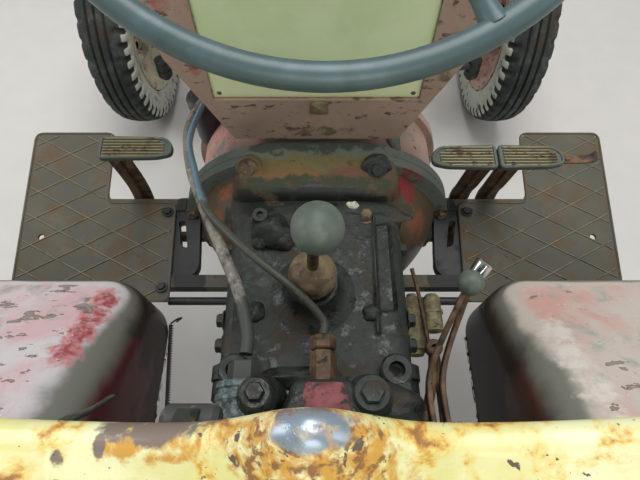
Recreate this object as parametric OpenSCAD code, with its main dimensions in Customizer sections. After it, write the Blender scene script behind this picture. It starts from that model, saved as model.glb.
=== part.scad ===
// Vintage farm tractor with pressed fenders, pan seat, open engine and rear lift linkage.
// Lengths are millimetres. +Y is forward, +X the tractor's right side, +Z up.
// Every module places its piece from the rear axle's centre: y = 0 and z = 0 there.

/* [Rear wheels] */
// Distance between the rear and front axles
wheelbase = 2000; // [1900:10:2100]
// Rear tyre radius to the lug tips
rear_tyre_r = 560; // [540:5:575]
// Rear tyre section width
rear_tyre_w = 250; // [230:5:270]
// Distance between the centre planes of the rear tyres
rear_track = 1300; // [1280:5:1320]
// Rear rim bead radius
rear_bead_r = 303; // [290:1:315]
// Height of a rear tyre lug
lug_h = 32; // [20:1:38]
// Tangential width of a rear tyre lug
lug_w = 34; // [26:1:42]
// Lugs on each side of a rear tyre
lug_count = 18; // [14:1:20]

/* [Front wheels] */
// Front tyre radius
front_tyre_r = 335; // [325:1:345]
// Front tyre section width
front_tyre_w = 145; // [130:1:155]
// Distance between the centre planes of the front tyres
front_track = 1316; // [1300:2:1340]
// Front rim bead radius
front_bead_r = 205; // [198:1:212]
// Depth of the grooves between the front tyre's ribs
rib_groove = 12; // [6:1:16]

/* [Steering] */
// Distance between the kingpins
kingpin_spread = 1030; // [1010:2:1040]
// Kingpin radius
kingpin_r = 22; // [18:0.5:26]
// Length of the steering arms and the drop arm
steer_arm = 235; // [215:1:250]
// Radius of the pins that join the steering arms and the tie bar
steer_pin_r = 9; // [7:0.5:11]
// Distance of the drop arm's shaft behind the front axle
drop_back = 120; // [110:1:130]
// Steering wheel radius to the middle of its rim
wheel_rim_r = 222; // [200:1:240]
// Radius of the steering wheel's rim tube
wheel_tube_r = 10; // [8:0.5:13]
// Rake of the steering column from vertical, in degrees
column_rake = 35; // [30:1:40]
// Radius of the steering column tube
column_r = 22; // [18:1:26]
// Steering wheel centre ahead of the rear axle
wheel_y = 912; // [890:1:930]
// Steering wheel centre above the rear axle
wheel_z = 812; // [790:1:830]
// Steering column to the right of the centre plane
column_x = 10; // [-10:1:15]

/* [Casings] */
// Half width of the axle casing and the gearbox
casing_hw = 137; // [125:1:145]
// Top of the gearbox and the axle casing above the rear axle
casing_top = 240; // [225:1:250]
// Bottom of the gearbox and the axle casing, below the rear axle
casing_drop = 140; // [120:1:150]
// Rear face of the axle casing behind the axle
casing_back = 150; // [140:1:165]
// Joint between the axle casing and the gearbox
gearbox_y = 640; // [625:1:660]
// Joint between the gearbox and the clutch housing
bell_y = 900; // [885:1:915]
// Widest flange of the clutch housing, its rear face
flange_y = 1012; // [1005:1:1020]
// Front face of the clutch housing, where the engine begins
engine_y = 1200; // [1195:1:1215]
// Radius of the clutch housing's round sides
bell_r = 205; // [190:1:215]
// Offset of the centres of the clutch housing's round sides
bell_offset = 64; // [50:1:72]
// Crankshaft height above the rear axle
crank_z = 40; // [30:1:50]
// Length of the lift housing's front part past the axle
lift_front_y = 618; // [600:1:622]
// Top of the lift housing above the rear axle
lift_top = 345; // [330:1:360]
// Half width of the lift housing
lift_hw = 126; // [115:1:135]
// Radius of an axle trumpet at its wheel end
trumpet_r = 72; // [65:1:80]
// End of an axle trumpet from the centre plane
trumpet_x = 500; // [490:1:505]
// Radius of the half shaft
shaft_r = 32; // [28:0.5:36]

/* [Engine] */
// Front of the cylinder block behind the front axle
block_back = 260; // [240:5:300]
// Half width of the cylinder block
block_hw = 138; // [125:1:142]
// Top of the cylinder block above the rear axle
block_top = 270; // [260:1:280]
// Height of the cylinder head
head_h = 72; // [60:1:85]
// Height of the rocker cover
rocker_h = 58; // [45:1:62]
// Depth of the sump below the cylinder block
sump_h = 78; // [60:1:80]
// Fan radius
fan_r = 182; // [160:1:190]
// Fan shaft height above the rear axle
fan_z = 245; // [240:1:252]
// Radius of the exhaust pipe
exhaust_r = 28; // [22:1:32]
// Top of the exhaust above the rear axle
exhaust_top = 1240; // [1150:5:1300]
// Exhaust stack to the right of the centre plane
exhaust_x = 142; // [136:1:150]
// Exhaust stack behind the front of the cylinder block
exhaust_back = 180; // [160:1:200]

/* [Bodywork] */
// Half width of the bonnet and of the dash cowl's top
bonnet_hw = 244; // [236:1:252]
// Top of the bonnet above the rear axle
bonnet_top = 640; // [625:1:655]
// Corner radius along the top of the bonnet
bonnet_corner = 90; // [70:1:110]
// Bottom edge of the bonnet's sides above the rear axle
bonnet_low = 425; // [415:1:440]
// Thickness of the bonnet sheet
bonnet_t = 4; // [3:0.5:6]
// Rear face of the dash cowl
dash_y = 1064; // [1060:1:1070]
// Front face of the dash cowl, where the bonnet begins
cowl_front_y = 1184; // [1175:1:1190]
// Half width of the dash panel
panel_hw = 168; // [155:1:180]
// Bottom of the dash panel above the rear axle
panel_low = 335; // [325:1:350]
// Height of the dash panel
panel_h = 262; // [240:1:275]
// Front joint of the bonnet behind the front axle
bonnet_end = 40; // [35:1:45]
// Front of the nose ahead of the front axle
nose_front = 280; // [260:1:295]
// Front of the front weight ahead of the front axle
front_overhang = 345; // [340:1:360]
// Headlamp radius
lamp_r = 78; // [65:1:85]

/* [Fenders and footplates] */
// Fender inner panel from the centre plane
fender_in_x = 280; // [272:1:284]
// Fender outer edge from the centre plane
fender_out_x = 782; // [780:1:800]
// Fender radius over the tyre
fender_r = 612; // [600:1:625]
// Slope of the fender's front, in degrees
fender_slope = 36.3; // [34:0.1:38]
// Thickness of the fender sheet
fender_t = 3; // [2:0.5:5]
// Radius of the fender's rounded inner edge
fender_round = 45; // [30:1:55]
// Rear edge of the footplates, under the fenders' front
plate_back_y = 838; // [832:1:844]
// Front edge of the footplates
plate_front_y = 1187; // [1170:1:1200]
// Height of the footplates' rear edge above the rear axle
plate_z = 28; // [20:1:36]
// Slope of the footplates, in degrees
plate_slope = 14.6; // [12:0.1:17]
// Thickness of a footplate
plate_t = 5; // [3:0.5:8]
// Outer edge of the footplates from the centre plane
plate_out_x = 602; // [590:1:615]
// Inner edge of the footplates from the centre plane
plate_in_x = 290; // [288:1:300]

/* [Seat and levers] */
// Width of the seat pan
seat_w = 470; // [440:2:500]
// Depth of the seat pan
seat_d = 410; // [380:2:430]
// Front lip of the seat ahead of the rear axle
seat_front_y = 538; // [525:1:550]
// Height of the seat's lowest part above the rear axle
seat_z = 492; // [480:1:505]
// Thickness of the seat pan
seat_t = 4; // [3:0.5:6]
// Radius of the gear lever's knob
gear_knob_r = 23.5; // [20:0.5:27]

/* [Lift linkage] */
// Length of a lift arm, and of a lower link up to its lift rod
lift_arm = 300; // [280:1:320]
// Length of a lower link
link_len = 700; // [680:5:740]
// Lift arm shaft and lower link pivot behind the rear axle
lift_pivot_back = 70; // [60:1:80]
// Lift arm shaft above the rear axle
lift_shaft_z = 292; // [285:1:300]
// Lower link pivot below the rear axle
link_pivot_drop = 160; // [152:1:170]
// Angle of the arms and links below level at rest, in degrees
lift_rest = 8; // [4:0.5:12]
// Radius of the hole in a lower link's end
link_eye_r = 11.2; // [11:0.1:14.5]
// Radius of the hole in the top link bracket
top_hole_r = 9.65; // [9:0.05:12.8]
// Radius of the drawbar's hole
drawbar_hole_r = 13; // [12:0.5:16]
// Radius of the power take-off stub
pto_r = 17.5; // [17:0.5:22]
// Length of the power take-off stub
pto_len = 75; // [60:1:90]

/* [Hidden] */
$fn = 48;
// Running clearance round a shaft or pin
run = 0.3;
// Gap left between faces that turn on each other
face_gap = 0.5;
// Depth by which a cut passes the face that it opens
over = 2;
iron = "#2f3a38";
sheet_red = "#a03c40";
black = "#26282a";
steel = "#8c8f8d";

link_back = lift_pivot_back + link_len * cos(lift_rest);
link_end_r = 26;
front_end = wheelbase + front_overhang;
rear_end = link_back + link_end_r;
// Where the rear axle lies, so that the tractor's box is centred
rear_axle_y = (rear_end - front_end) / 2;

block_front = wheelbase - block_back;
block_len = block_front - engine_y;
cylinder_pitch = block_len / 5;
exhaust_y = block_front - exhaust_back;
block_bottom = crank_z - 120;
head_top = block_top + head_h;
bolster_y = block_front + 92;
bolster_top = crank_z;
bolster_low = crank_z - 100;
bolster_hw = 130;
stub_z = front_tyre_r - rear_tyre_r;
arm_top = stub_z + 9;
arm_t = 22;
tie_h = 38;
kingpin_x = kingpin_spread / 2;
drop_y = wheelbase - drop_back;
beam_z = bolster_low - 52;
beam_h = 54;
sleeve_top = beam_z + 50;
sleeve_low = beam_z - 46;
hub_x = front_track / 2;
stub_r = 22;
cowl_low = 242;
trumpet_inner_r = 92;
nose_y = wheelbase - bonnet_end;
radiator_y = nose_y - 82;
link_x = 228;
link_spread = 115;
rod_frac = lift_arm / link_len;
// Points of the lift linkage at rest, in Y and Z
arm_way = [-lift_arm * cos(lift_rest), -lift_arm * sin(lift_rest)];
arm_tip = [-lift_pivot_back, lift_shaft_z] + arm_way;
link_hole = [-lift_pivot_back, -link_pivot_drop] + arm_way;
arm_x = lift_hw + 14;
hole_x = link_x + link_spread * rod_frac;
rear_x = rear_track / 2;
radiator_hw = bonnet_hw - 48;
grille_hw = bonnet_hw - 86;
grille_low = bolster_top + 56;
grille_top = bonnet_top - 96;
// Air cleaner's pipe, in X and Y
cleaner_x = -118;
cleaner_y = block_front - 62;
// Gear lever's turret on the gearbox
turret_x = -4;
turret_y = gearbox_y + 124;
turret_top = casing_top + 50;
// Pedal shaft, and the front edge of the footplates' notches
pedal_shaft_y = flange_y + 20;
pedal_shaft_z = -58;
notch_y = flange_y + 26;
pad_top = 260;
// Brake cross rods on the gearbox's sides
brake_rod_y = bell_y - 56;
fender_lean = 0.1875;
fender_front_y = plate_back_y + fender_lean * plate_z;
fender_low = plate_z + run;

function plate_top(y) = plate_z + (y - plate_back_y) * tan(plate_slope);
function arc(cx, cy, r, from, to, steps) =
    [for (i = [0:steps]) let (a = from + (to - from) * i / steps) [cx + r * cos(a), cy + r * sin(a)]];

// Moves a piece from the rear axle's centre to the part's own origin
module on_tractor() translate([0, rear_axle_y, rear_tyre_r]) children();
module both_sides() {
    children();
    mirror([1, 0, 0]) children();
}
module on_side(side) mirror([side < 0 ? 1 : 0, 0, 0]) children();
// An extrusion along Y of an outline drawn in X and Z
module along_y(from, to) translate([0, to, 0]) rotate([90, 0, 0]) linear_extrude(to - from) children();
// An extrusion along X of an outline drawn in Y and Z
module along_x(from, to) translate([from, 0, 0]) rotate([90, 0, 90]) linear_extrude(to - from) children();
module block(from, to) translate(from) cube(to - from);
module x_cyl(from, to, r, y, z) translate([from, y, z]) rotate([0, 90, 0]) cylinder(r = r, h = to - from);
module y_cyl(from, to, r, x, z) translate([x, from, z]) rotate([-90, 0, 0]) cylinder(r = r, h = to - from);
module z_cyl(from, to, r, x, y) translate([x, y, from]) cylinder(r = r, h = to - from);
// A round bar between two points
module rod(a, b, r) {
    way = b - a;
    reach = norm(way);
    translate(a) rotate([0, acos(way.z / reach), atan2(way.y, way.x)]) cylinder(r = r, h = reach);
}
// A bent round bar through a list of points
module bent_rod(points, r) {
    for (i = [1:len(points) - 1]) rod(points[i - 1], points[i], r);
    for (i = [1:len(points) - 2]) translate(points[i]) sphere(r = 1.06 * r);
}
// A smooth line through points, with three steps to each span
function through(p) = concat([for (i = [0:len(p) - 2], j = [0:2])
    let (t = j / 3, a = p[max(0, i - 1)], b = p[i], c = p[i + 1], d = p[min(len(p) - 1, i + 2)])
    b + (c - a) * t / 2 + (2 * a - 5 * b + 4 * c - d) * pow(t, 2) / 2
        + (3 * b - a - 3 * c + d) * pow(t, 3) / 2], [p[len(p) - 1]]);
// A bent pipe: one closed skin of rings round a smooth line
module pipe(points, r) {
    sides = 10;
    line = through(points);
    last = len(line) - 1;
    rings = [for (i = [0:last]) let (way = line[min(last, i + 1)] - line[max(0, i - 1)],
        across = cross(way, [1, 0, 0]) / norm(cross(way, [1, 0, 0])), up = cross(across, way) / norm(way))
        for (j = [0:sides - 1]) line[i] + r * (cos(360 * j / sides) * across + sin(360 * j / sides) * up)];
    walls = [for (i = [0:last - 1], j = [0:sides - 1]) let (k = (j + 1) % sides)
        [i * sides + j, i * sides + k, (i + 1) * sides + k, (i + 1) * sides + j]];
    ends = [[for (j = [sides - 1:-1:0]) j], [for (j = [0:sides - 1]) last * sides + j]];
    polyhedron(rings, concat(walls, ends));
}
// A rectangle with exact round corners, from its low corner to its high corner
module round_rect(from, to, r) {
    translate([from.x + r, from.y]) square([to.x - from.x - 2 * r, to.y - from.y]);
    translate([from.x, from.y + r]) square([to.x - from.x, to.y - from.y - 2 * r]);
    for (x = [from.x + r, to.x - r], y = [from.y + r, to.y - r]) translate([x, y]) circle(r = r);
}
// The closed skin of a grid of points, with an even drop to its underside
module grid_sheet(rows, thick) {
    n = len(rows);
    m = len(rows[0]);
    top = [for (row = rows) for (p = row) p];
    low = [for (p = top) p - [0, 0, thick]];
    k = n * m;
    quads = [for (i = [0:n - 2], j = [0:m - 2]) let (a = i * m + j) [a, a + 1, a + m + 1, a + m]];
    edge = concat([for (j = [0:m - 2]) [j, j + 1]],
        [for (i = [0:n - 2]) [i * m + m - 1, (i + 1) * m + m - 1]],
        [for (j = [m - 1:-1:1]) [(n - 1) * m + j, (n - 1) * m + j - 1]],
        [for (i = [n - 1:-1:1]) [i * m, (i - 1) * m]]);
    faces = concat([for (q = quads) each [[q[0], q[1], q[2]], [q[0], q[2], q[3]]]],
        [for (q = quads) each [[k + q[2], k + q[1], k + q[0]], [k + q[3], k + q[2], k + q[0]]]],
        [for (e = edge) each [[e[1], e[0], k + e[0]], [e[1], k + e[0], k + e[1]]]]);
    polyhedron(concat(top, low), faces);
}

// Rear axle casing with its trumpets, link brackets and power take-off stub
module rear_axle_housing() color(iron) on_tractor() difference() {
    union() {
        along_y(-casing_back, gearbox_y - 24)
            round_rect([-casing_hw, -casing_drop], [casing_hw, casing_top], 30);
        along_y(gearbox_y - 24, gearbox_y)
            round_rect([-casing_hw - 10, -casing_drop - 10], [casing_hw + 10, casing_top], 34);
        y_cyl(-casing_back - 22, -casing_back, 62, 0, -20);
        y_cyl(-casing_back - 22 - pto_len, -casing_back - 22, pto_r, 0, -20);
        both_sides() {
            translate([casing_hw - over, 0, 0]) rotate([0, 90, 0])
                cylinder(r1 = trumpet_inner_r + 18, r2 = trumpet_inner_r, h = 40);
            translate([casing_hw + 38 - over, 0, 0]) rotate([0, 90, 0])
                cylinder(r1 = trumpet_inner_r, r2 = trumpet_r, h = trumpet_x - casing_hw - 38);
            x_cyl(trumpet_x - 34, trumpet_x, trumpet_r + 34, 0, 0);
            block([fender_in_x + fender_t, -66, trumpet_r], [fender_in_x + fender_t + 9, 66, 196]);
            along_x(link_x - 34, link_x - 17) polygon([[-lift_pivot_back - 26, -link_pivot_drop - 24],
                [-lift_pivot_back + 26, -link_pivot_drop - 24], [60, -40], [-60, -20]]);
            x_cyl(link_x - 18, link_x + 24, 11, -lift_pivot_back, -link_pivot_drop);
            x_cyl(link_x + 17 + face_gap, link_x + 24, 17, -lift_pivot_back, -link_pivot_drop);
        }
    }
    both_sides() x_cyl(trumpet_x - 82, trumpet_x + over, shaft_r + run, 0, 0);
}

// Hydraulic lift housing under the seat, with its cross bore and the top link bracket
module lift_housing() color(iron) on_tractor() difference() {
    union() {
        along_x(-lift_hw, lift_hw) polygon([[-casing_back, casing_top], [lift_front_y, casing_top],
            [lift_front_y, lift_top - 16], [lift_front_y - 18, lift_top],
            [-casing_back + 26, lift_top], [-casing_back, lift_top - 26]]);
        for (x = [-78, 78]) z_cyl(lift_top - 40, lift_top + 12, 19, x, lift_front_y - 40);
        both_sides() block([28, -casing_back - 62, lift_top - 92], [42, -casing_back + over, lift_top - 48]);
    }
    x_cyl(-lift_hw - over, lift_hw + over, 22 + run, -lift_pivot_back, lift_shaft_z);
    x_cyl(-60, 60, top_hole_r, -casing_back - 42, lift_top - 70);
}

// Gearbox casing with its lever turret, filler boss and selector shaft's cover
module gearbox() color(iron) on_tractor() {
    along_y(gearbox_y, gearbox_y + 22)
        round_rect([-casing_hw - 10, -casing_drop - 10], [casing_hw + 10, casing_top], 34);
    along_y(gearbox_y + 22, bell_y) round_rect([-casing_hw, -casing_drop], [casing_hw, casing_top], 40);
    translate([turret_x, turret_y, casing_top - over]) cylinder(r1 = 74, r2 = 44, h = 44);
    z_cyl(turret_top - 10, turret_top, 44, turret_x, turret_y);
    y_cyl(gearbox_y + 60, gearbox_y + 190, 26, 78, casing_top - 6);
    translate([60, bell_y - 35, casing_top - over]) cylinder(r1 = 34, r2 = 26, h = 22);
}

// The outline of the clutch housing, drawn from the crankshaft's axis
module bell_outline(trim) {
    for (side = [-1, 1]) translate([side * bell_offset, 0]) circle(r = bell_r - trim);
    translate([-bell_offset, -bell_r + trim]) square([2 * bell_offset, 2 * (bell_r - trim)]);
}
// Clutch housing: a flared bell, its bolting flange and the straight part behind the engine
module clutch_housing() color("#6a4a30") on_tractor() {
    neck_hw = casing_hw + 6;
    hull() {
        along_y(bell_y, bell_y + 1) round_rect([-neck_hw, -casing_drop], [neck_hw, casing_top], 40);
        translate([0, 0, crank_z]) along_y(flange_y - 1, flange_y) bell_outline(26);
    }
    translate([0, 0, crank_z]) along_y(flange_y, flange_y + 40) bell_outline(0);
    translate([0, 0, crank_z]) along_y(flange_y + 40, engine_y - 22) bell_outline(22);
    translate([0, 0, crank_z]) along_y(engine_y - 22, engine_y) bell_outline(8);
    for (x = [-108, 108]) y_cyl(flange_y - 16, flange_y, 13, x, crank_z + 172);
}

// Cylinder block with its sump, side ribs, timing case and crank pulley
module engine_block() color("#4d5a50") on_tractor() {
    rib_y = [for (i = [1:4]) engine_y + i * cylinder_pitch];
    block([-block_hw, engine_y, block_bottom], [block_hw, block_front, block_top]);
    along_y(engine_y + 10, block_front - 10)
        polygon([[-block_hw + 14, block_bottom], [block_hw - 14, block_bottom],
            [block_hw - 42, block_bottom - sump_h], [-block_hw + 42, block_bottom - sump_h]]);
    for (y = rib_y) block([-block_hw - 7, y - 7, block_bottom + 30], [block_hw + 7, y + 7, block_top - 70]);
    along_y(block_front, block_front + 35) round_rect([-98, block_bottom + 10], [98, block_top - 26], 40);
    y_cyl(block_front + 34, block_front + 62, 66, 0, crank_z);
    y_cyl(block_front + 34, block_front + 50, 42, 0, fan_z);
}

// Cylinder head with the rocker cover and its injector bosses
module cylinder_head() color("#55605a") on_tractor() {
    head_hw = block_hw - 28;
    block([-head_hw, engine_y + 22, block_top], [head_hw, block_front - 16, head_top]);
    along_y(engine_y + 56, block_front - 50)
        round_rect([-74, head_top - 24], [74, head_top + rocker_h], 24);
    z_cyl(head_top + rocker_h - 2, head_top + rocker_h + 14, 22, 0, engine_y + 120);
    for (i = [1:4]) let (y = engine_y + i * cylinder_pitch)
        rod([-66, y, head_top - 6], [-112, y, head_top + 42], 9);
}

// Exhaust manifold on the right of the head, upright silencer and tail pipe
module exhaust() color("#6a4c3c") on_tractor() {
    head_x = block_hw - 28;
    for (i = [1:4]) let (y = engine_y + i * cylinder_pitch)
        block([head_x, y - 20, block_top + 14], [head_x + 18, y + 20, block_top + 54]);
    y_cyl(engine_y + 78, block_front - 66, 24, exhaust_x - 4, block_top + 34);
    z_cyl(block_top + 34, bonnet_top + 40, exhaust_r, exhaust_x, exhaust_y);
    translate([exhaust_x, exhaust_y, bonnet_top + 38]) cylinder(r1 = exhaust_r, r2 = 2 * exhaust_r, h = 26);
    z_cyl(bonnet_top + 62, bonnet_top + 380, 2 * exhaust_r, exhaust_x, exhaust_y);
    translate([exhaust_x, exhaust_y, bonnet_top + 378]) cylinder(r1 = 2 * exhaust_r, r2 = exhaust_r, h = 26);
    difference() {
        z_cyl(bonnet_top + 400, exhaust_top, exhaust_r, exhaust_x, exhaust_y);
        z_cyl(exhaust_top - 120, exhaust_top + over, exhaust_r - 3, exhaust_x, exhaust_y);
        translate([exhaust_x, exhaust_y - exhaust_r, exhaust_top - 6]) rotate([40, 0, 0])
            translate([-60, -20, 0]) cube([120, 120, 60]);
    }
}

// In-line injection pump on the left of the block, with its filter bowl and pipes
module injection_pump() color("#8a8d84") on_tractor() {
    pump_z = crank_z - 30;
    pump_y = engine_y + 1.75 * cylinder_pitch;
    element = 0.39 * cylinder_pitch;
    pump_len = 4.5 * element;
    face = -block_hw - 7;
    block([face - 78, pump_y, pump_z - 46], [face, pump_y + pump_len, pump_z + 46]);
    y_cyl(pump_y - 52, pump_y, 44, face - 40, pump_z - 2);
    block([face - 40, pump_y - 44, pump_z - 30], [face, pump_y - 8, pump_z + 30]);
    for (i = [0:3]) let (y = pump_y + (i + 0.72) * element)
        bent_rod([[face - 46, y, pump_z + 44], [face - 46, y, pump_z + 76], [face - 12, y, pump_z + 118]], 4);
    block([face - 20, pump_y + 18, pump_z + 112], [face, pump_y + pump_len - 18, pump_z + 124]);
}

// Dynamo and starter motor on the right of the block
module dynamo() color(black) on_tractor() {
    y_cyl(block_front - 210, block_front - 20, 52, block_hw + 62, crank_z + 130);
    block([block_hw + 7, block_front - 180, crank_z + 100], [block_hw + 40, block_front - 60, crank_z + 118]);
    y_cyl(block_front - 20, block_front + 58, 9, block_hw + 62, crank_z + 130);
    y_cyl(block_front + 36, block_front + 58, 34, block_hw + 62, crank_z + 130);
    y_cyl(engine_y + 2, engine_y + 210, 46, block_hw + 55, crank_z - 20);
    block([block_hw + 7, engine_y + 30, crank_z - 34], [block_hw + 30, engine_y + 180, crank_z - 8]);
}

// Oil bath air cleaner beside the rocker cover, with its bowl above the bonnet
module air_cleaner() color(black) on_tractor() {
    x = cleaner_x;
    y = cleaner_y;
    z_cyl(head_top + rocker_h + 12, bonnet_top - 78, 62, x, y);
    z_cyl(bonnet_top - 80, bonnet_top + 34, 28, x, y);
    translate([x, y, bonnet_top + 32]) cylinder(r1 = 30, r2 = 70, h = 22);
    z_cyl(bonnet_top + 52, bonnet_top + 104, 70, x, y);
    translate([x, y, bonnet_top + 103]) cylinder(r1 = 70, r2 = 24, h = 20);
    block([-108, y - 30, head_top], [-80, y + 20, head_top + rocker_h + 14]);
}

// Radiator core between its tanks, standing on the bolster
module radiator() color(black) on_tractor() {
    fins = 17;
    low = bolster_top;
    high = bonnet_top - 66;
    deep = 74;
    core_hw = radiator_hw - 12;
    block([-radiator_hw, radiator_y, low], [radiator_hw, radiator_y + deep, low + 56]);
    block([-radiator_hw, radiator_y, high - 62], [radiator_hw, radiator_y + deep, high]);
    block([-core_hw, radiator_y + 14, low + 54], [core_hw, radiator_y + deep - 14, high - 60]);
    for (i = [0:fins - 1]) translate([-core_hw + i * 2 * core_hw / (fins - 1), 0, 0])
        block([-3, radiator_y + 6, low + 54], [3, radiator_y + deep - 6, high - 60]);
    both_sides() block([core_hw, radiator_y, low + 50], [radiator_hw, radiator_y + deep, high - 55]);
    z_cyl(high - 2, high + 26, 30, 0, radiator_y + deep / 2 - 1);
}

// Cooling fan on the water pump's nose, with its belt pulley
module fan() color("#a03c40") on_tractor() {
    y0 = block_front + 50;
    y_cyl(y0, y0 + 34, 40, 0, fan_z);
    for (i = [0:3]) translate([0, y0 + 18, fan_z]) rotate([0, 45 + i * 90, 0]) rotate([0, 0, 26])
        block([-34, -1.5, 30], [34, 1.5, fan_r]);
}

// Front bolster: side rails from the block, the casting that carries the axle and the steering gear
module front_bolster() color(iron) on_tractor() {
    pin_z = beam_z;
    difference() {
        union() {
            both_sides()
                block([104, block_front, bolster_low], [bolster_hw, bolster_y + over, bolster_top - 6]);
            block([-bolster_hw, bolster_y, bolster_low], [bolster_hw, front_end - 130, bolster_top]);
            for (y = [wheelbase - 66, wheelbase + 36])
                along_y(y, y + 30) polygon([[-70, bolster_low + over], [70, bolster_low + over],
                    [44, pin_z - 34], [-44, pin_z - 34]]);
            z_cyl(arm_top + 22, bolster_low + over, 42, 0, drop_y);
            block([-bolster_hw - 46, bolster_y, bolster_low + 10],
                [-bolster_hw + over, bolster_y + 60, bolster_top - 14]);
        }
        z_cyl(arm_top, bolster_low + 30, 18 + run, 0, drop_y);
        y_cyl(wheelbase - 90, wheelbase + 90, 20, 0, pin_z);
    }
}

// Cast weight and towing pin bracket on the bolster's nose
module front_weight() color(iron) on_tractor() difference() {
    union() {
        block([-150, front_end - 130, bolster_low - 60], [150, front_end - 36, bolster_top]);
        along_y(front_end - 36, front_end) round_rect([-110, bolster_low - 20], [110, bolster_low + 70], 20);
    }
    block([-40, front_end - 50, bolster_low + 14], [40, front_end + over, bolster_low + 38]);
    z_cyl(bolster_low - 30, bolster_low + 80, 11, 0, front_end - 22);
}

// Fuel tank under the rear of the bonnet, carried by the dash cowl
module fuel_tank() color(black) on_tractor()
    along_y(cowl_front_y, exhaust_y - 60)
        round_rect([-bonnet_hw + 34, bonnet_low + 14], [bonnet_hw - 34, bonnet_top - 34], 60);

// The bonnet's cross-section, less an even trim: straight sides and a top with round corners
module hood_outline(trim, low, hw, top, corner) {
    r = corner - trim;
    half = hw - trim;
    polygon(concat([[half, low]], arc(half - r, top - trim - r, r, 0, 90, 8),
        arc(r - half, top - trim - r, r, 90, 180, 8), [[-half, low]]));
}
// Bonnet sheet over the engine, open below, with holes for the exhaust and the air intake
module bonnet() color(sheet_red) on_tractor() difference() {
    along_y(cowl_front_y, nose_y) hood_outline(0, bonnet_low, bonnet_hw, bonnet_top, bonnet_corner);
    along_y(cowl_front_y - over, nose_y + over)
        hood_outline(bonnet_t, bonnet_low - over, bonnet_hw, bonnet_top, bonnet_corner);
    z_cyl(bonnet_top - 60, bonnet_top + over, exhaust_r + 14, exhaust_x, exhaust_y);
    z_cyl(bonnet_top - 60, bonnet_top + over, 36, cleaner_x, cleaner_y);
}

// Nose cowl round the radiator, narrowing forward, with the grille's opening
module nose_form(trim) hull() {
    along_y(nose_y - (trim > 0 ? over : 0), nose_y + 90)
        hood_outline(trim, bolster_top + 4, bonnet_hw, bonnet_top, bonnet_corner);
    along_y(wheelbase + nose_front - 30 - trim, wheelbase + nose_front - 29 - trim)
        hood_outline(trim, bolster_top + 4, bonnet_hw - 12, bonnet_top - 16, bonnet_corner);
    along_y(wheelbase + nose_front - 1 - trim, wheelbase + nose_front - trim)
        hood_outline(trim, bolster_top + 4, bonnet_hw - 40, bonnet_top - 44, bonnet_corner - 10);
}
module nose_cowl() color(sheet_red) on_tractor() {
    difference() {
        nose_form(0);
        nose_form(bonnet_t);
        along_y(wheelbase + nose_front - 40, wheelbase + nose_front + over)
            round_rect([-grille_hw, grille_low], [grille_hw, grille_top], 40);
    }
    block([-bonnet_hw, nose_y + 40, bolster_top], [bonnet_hw, nose_y + 130, bolster_top + 4]);
}

// Grille of upright bars in a frame, behind the nose's front opening
module grille() color("#c9c4b4") on_tractor() {
    bars = 13;
    back = wheelbase + nose_front - bonnet_t - 22;
    front = wheelbase + nose_front - bonnet_t;
    difference() {
        along_y(back + 10, front)
            round_rect([-grille_hw - 14, grille_low - 14], [grille_hw + 14, grille_top + 14], 44);
        along_y(back, front + over)
            round_rect([-grille_hw + 6, grille_low + 6], [grille_hw - 6, grille_top - 6], 34);
    }
    for (i = [1:bars]) translate([-grille_hw + i * 2 * grille_hw / (bars + 1), 0, 0])
        block([-4, back, grille_low - 6], [4, front - 4, grille_top + 6]);
    for (share = [0.33, 0.67]) let (z = grille_low + (grille_top - grille_low) * share)
        block([-grille_hw, back - 4, z - 5], [grille_hw, back + 6, z + 5]);
}

// Headlamps on short arms from the nose's sides
module headlamps() color(black) on_tractor() both_sides() {
    x = bonnet_hw + lamp_r + 22;
    y = nose_y + 70;
    z = bonnet_top - 190;
    translate([x, y, z]) rotate([-90, 0, 0]) rotate_extrude() polygon([[0, -70], [22, -66], [52, -44],
        [lamp_r - 6, -6], [lamp_r - 4, 24], [lamp_r, 24], [lamp_r, 40], [lamp_r - 8, 42], [lamp_r - 14, 40],
        [0, 52]]);
    x_cyl(bonnet_hw, x - 30, 12, y - 20, z);
    x_cyl(bonnet_hw, bonnet_hw + 8, 28, y - 20, z);
}

// Dash cowl: its outline widens upwards and its face is recessed for the panel
module cowl_outline() {
    shoulder = 90;
    polygon(concat([[146, cowl_low], [226, 417], [bonnet_hw, 511]],
        arc(bonnet_hw - shoulder, bonnet_top - shoulder, shoulder, 0, 90, 8),
        arc(shoulder - bonnet_hw, bonnet_top - shoulder, shoulder, 90, 180, 8),
        [[-bonnet_hw, 511], [-226, 417], [-146, cowl_low]]));
}
module panel_outline(grow) polygon(concat([[panel_hw + grow, panel_low - grow]],
    arc(panel_hw - 60, panel_low + panel_h - 60, 60 + grow, 0, 90, 6),
    arc(60 - panel_hw, panel_low + panel_h - 60, 60 + grow, 90, 180, 6),
    [[-panel_hw - grow, panel_low - grow]]));
module dash_cowl() color("#8a6a58") on_tractor() difference() {
    along_y(dash_y, cowl_front_y) cowl_outline();
    along_y(dash_y - over, dash_y + 9) panel_outline(0);
    column_bore();
}

// Pale panel in the cowl's face, with its dial and switch holes
module dash_panel() color("#b2cf94") on_tractor() difference() {
    along_y(dash_y + 4, dash_y + 9) panel_outline(0);
    y_cyl(dash_y, dash_y + 7, 42, -90, panel_low + panel_h - 62);
    y_cyl(dash_y, dash_y + 7, 24, 104, panel_low + panel_h - 50);
    column_bore();
}
function column_at(y) = wheel_z - (y - wheel_y) / tan(column_rake);
// The clearance round the column where it meets the bottom of the cowl's recess
module column_bore() intersection() {
    translate([column_x, wheel_y, wheel_z]) rotate([column_rake, 0, 0])
        translate([0, 0, -500]) cylinder(r = column_r + 5, h = 500);
    block([-100, dash_y - over, panel_low], [100, dash_y + 9, bonnet_top + over]);
}

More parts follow.
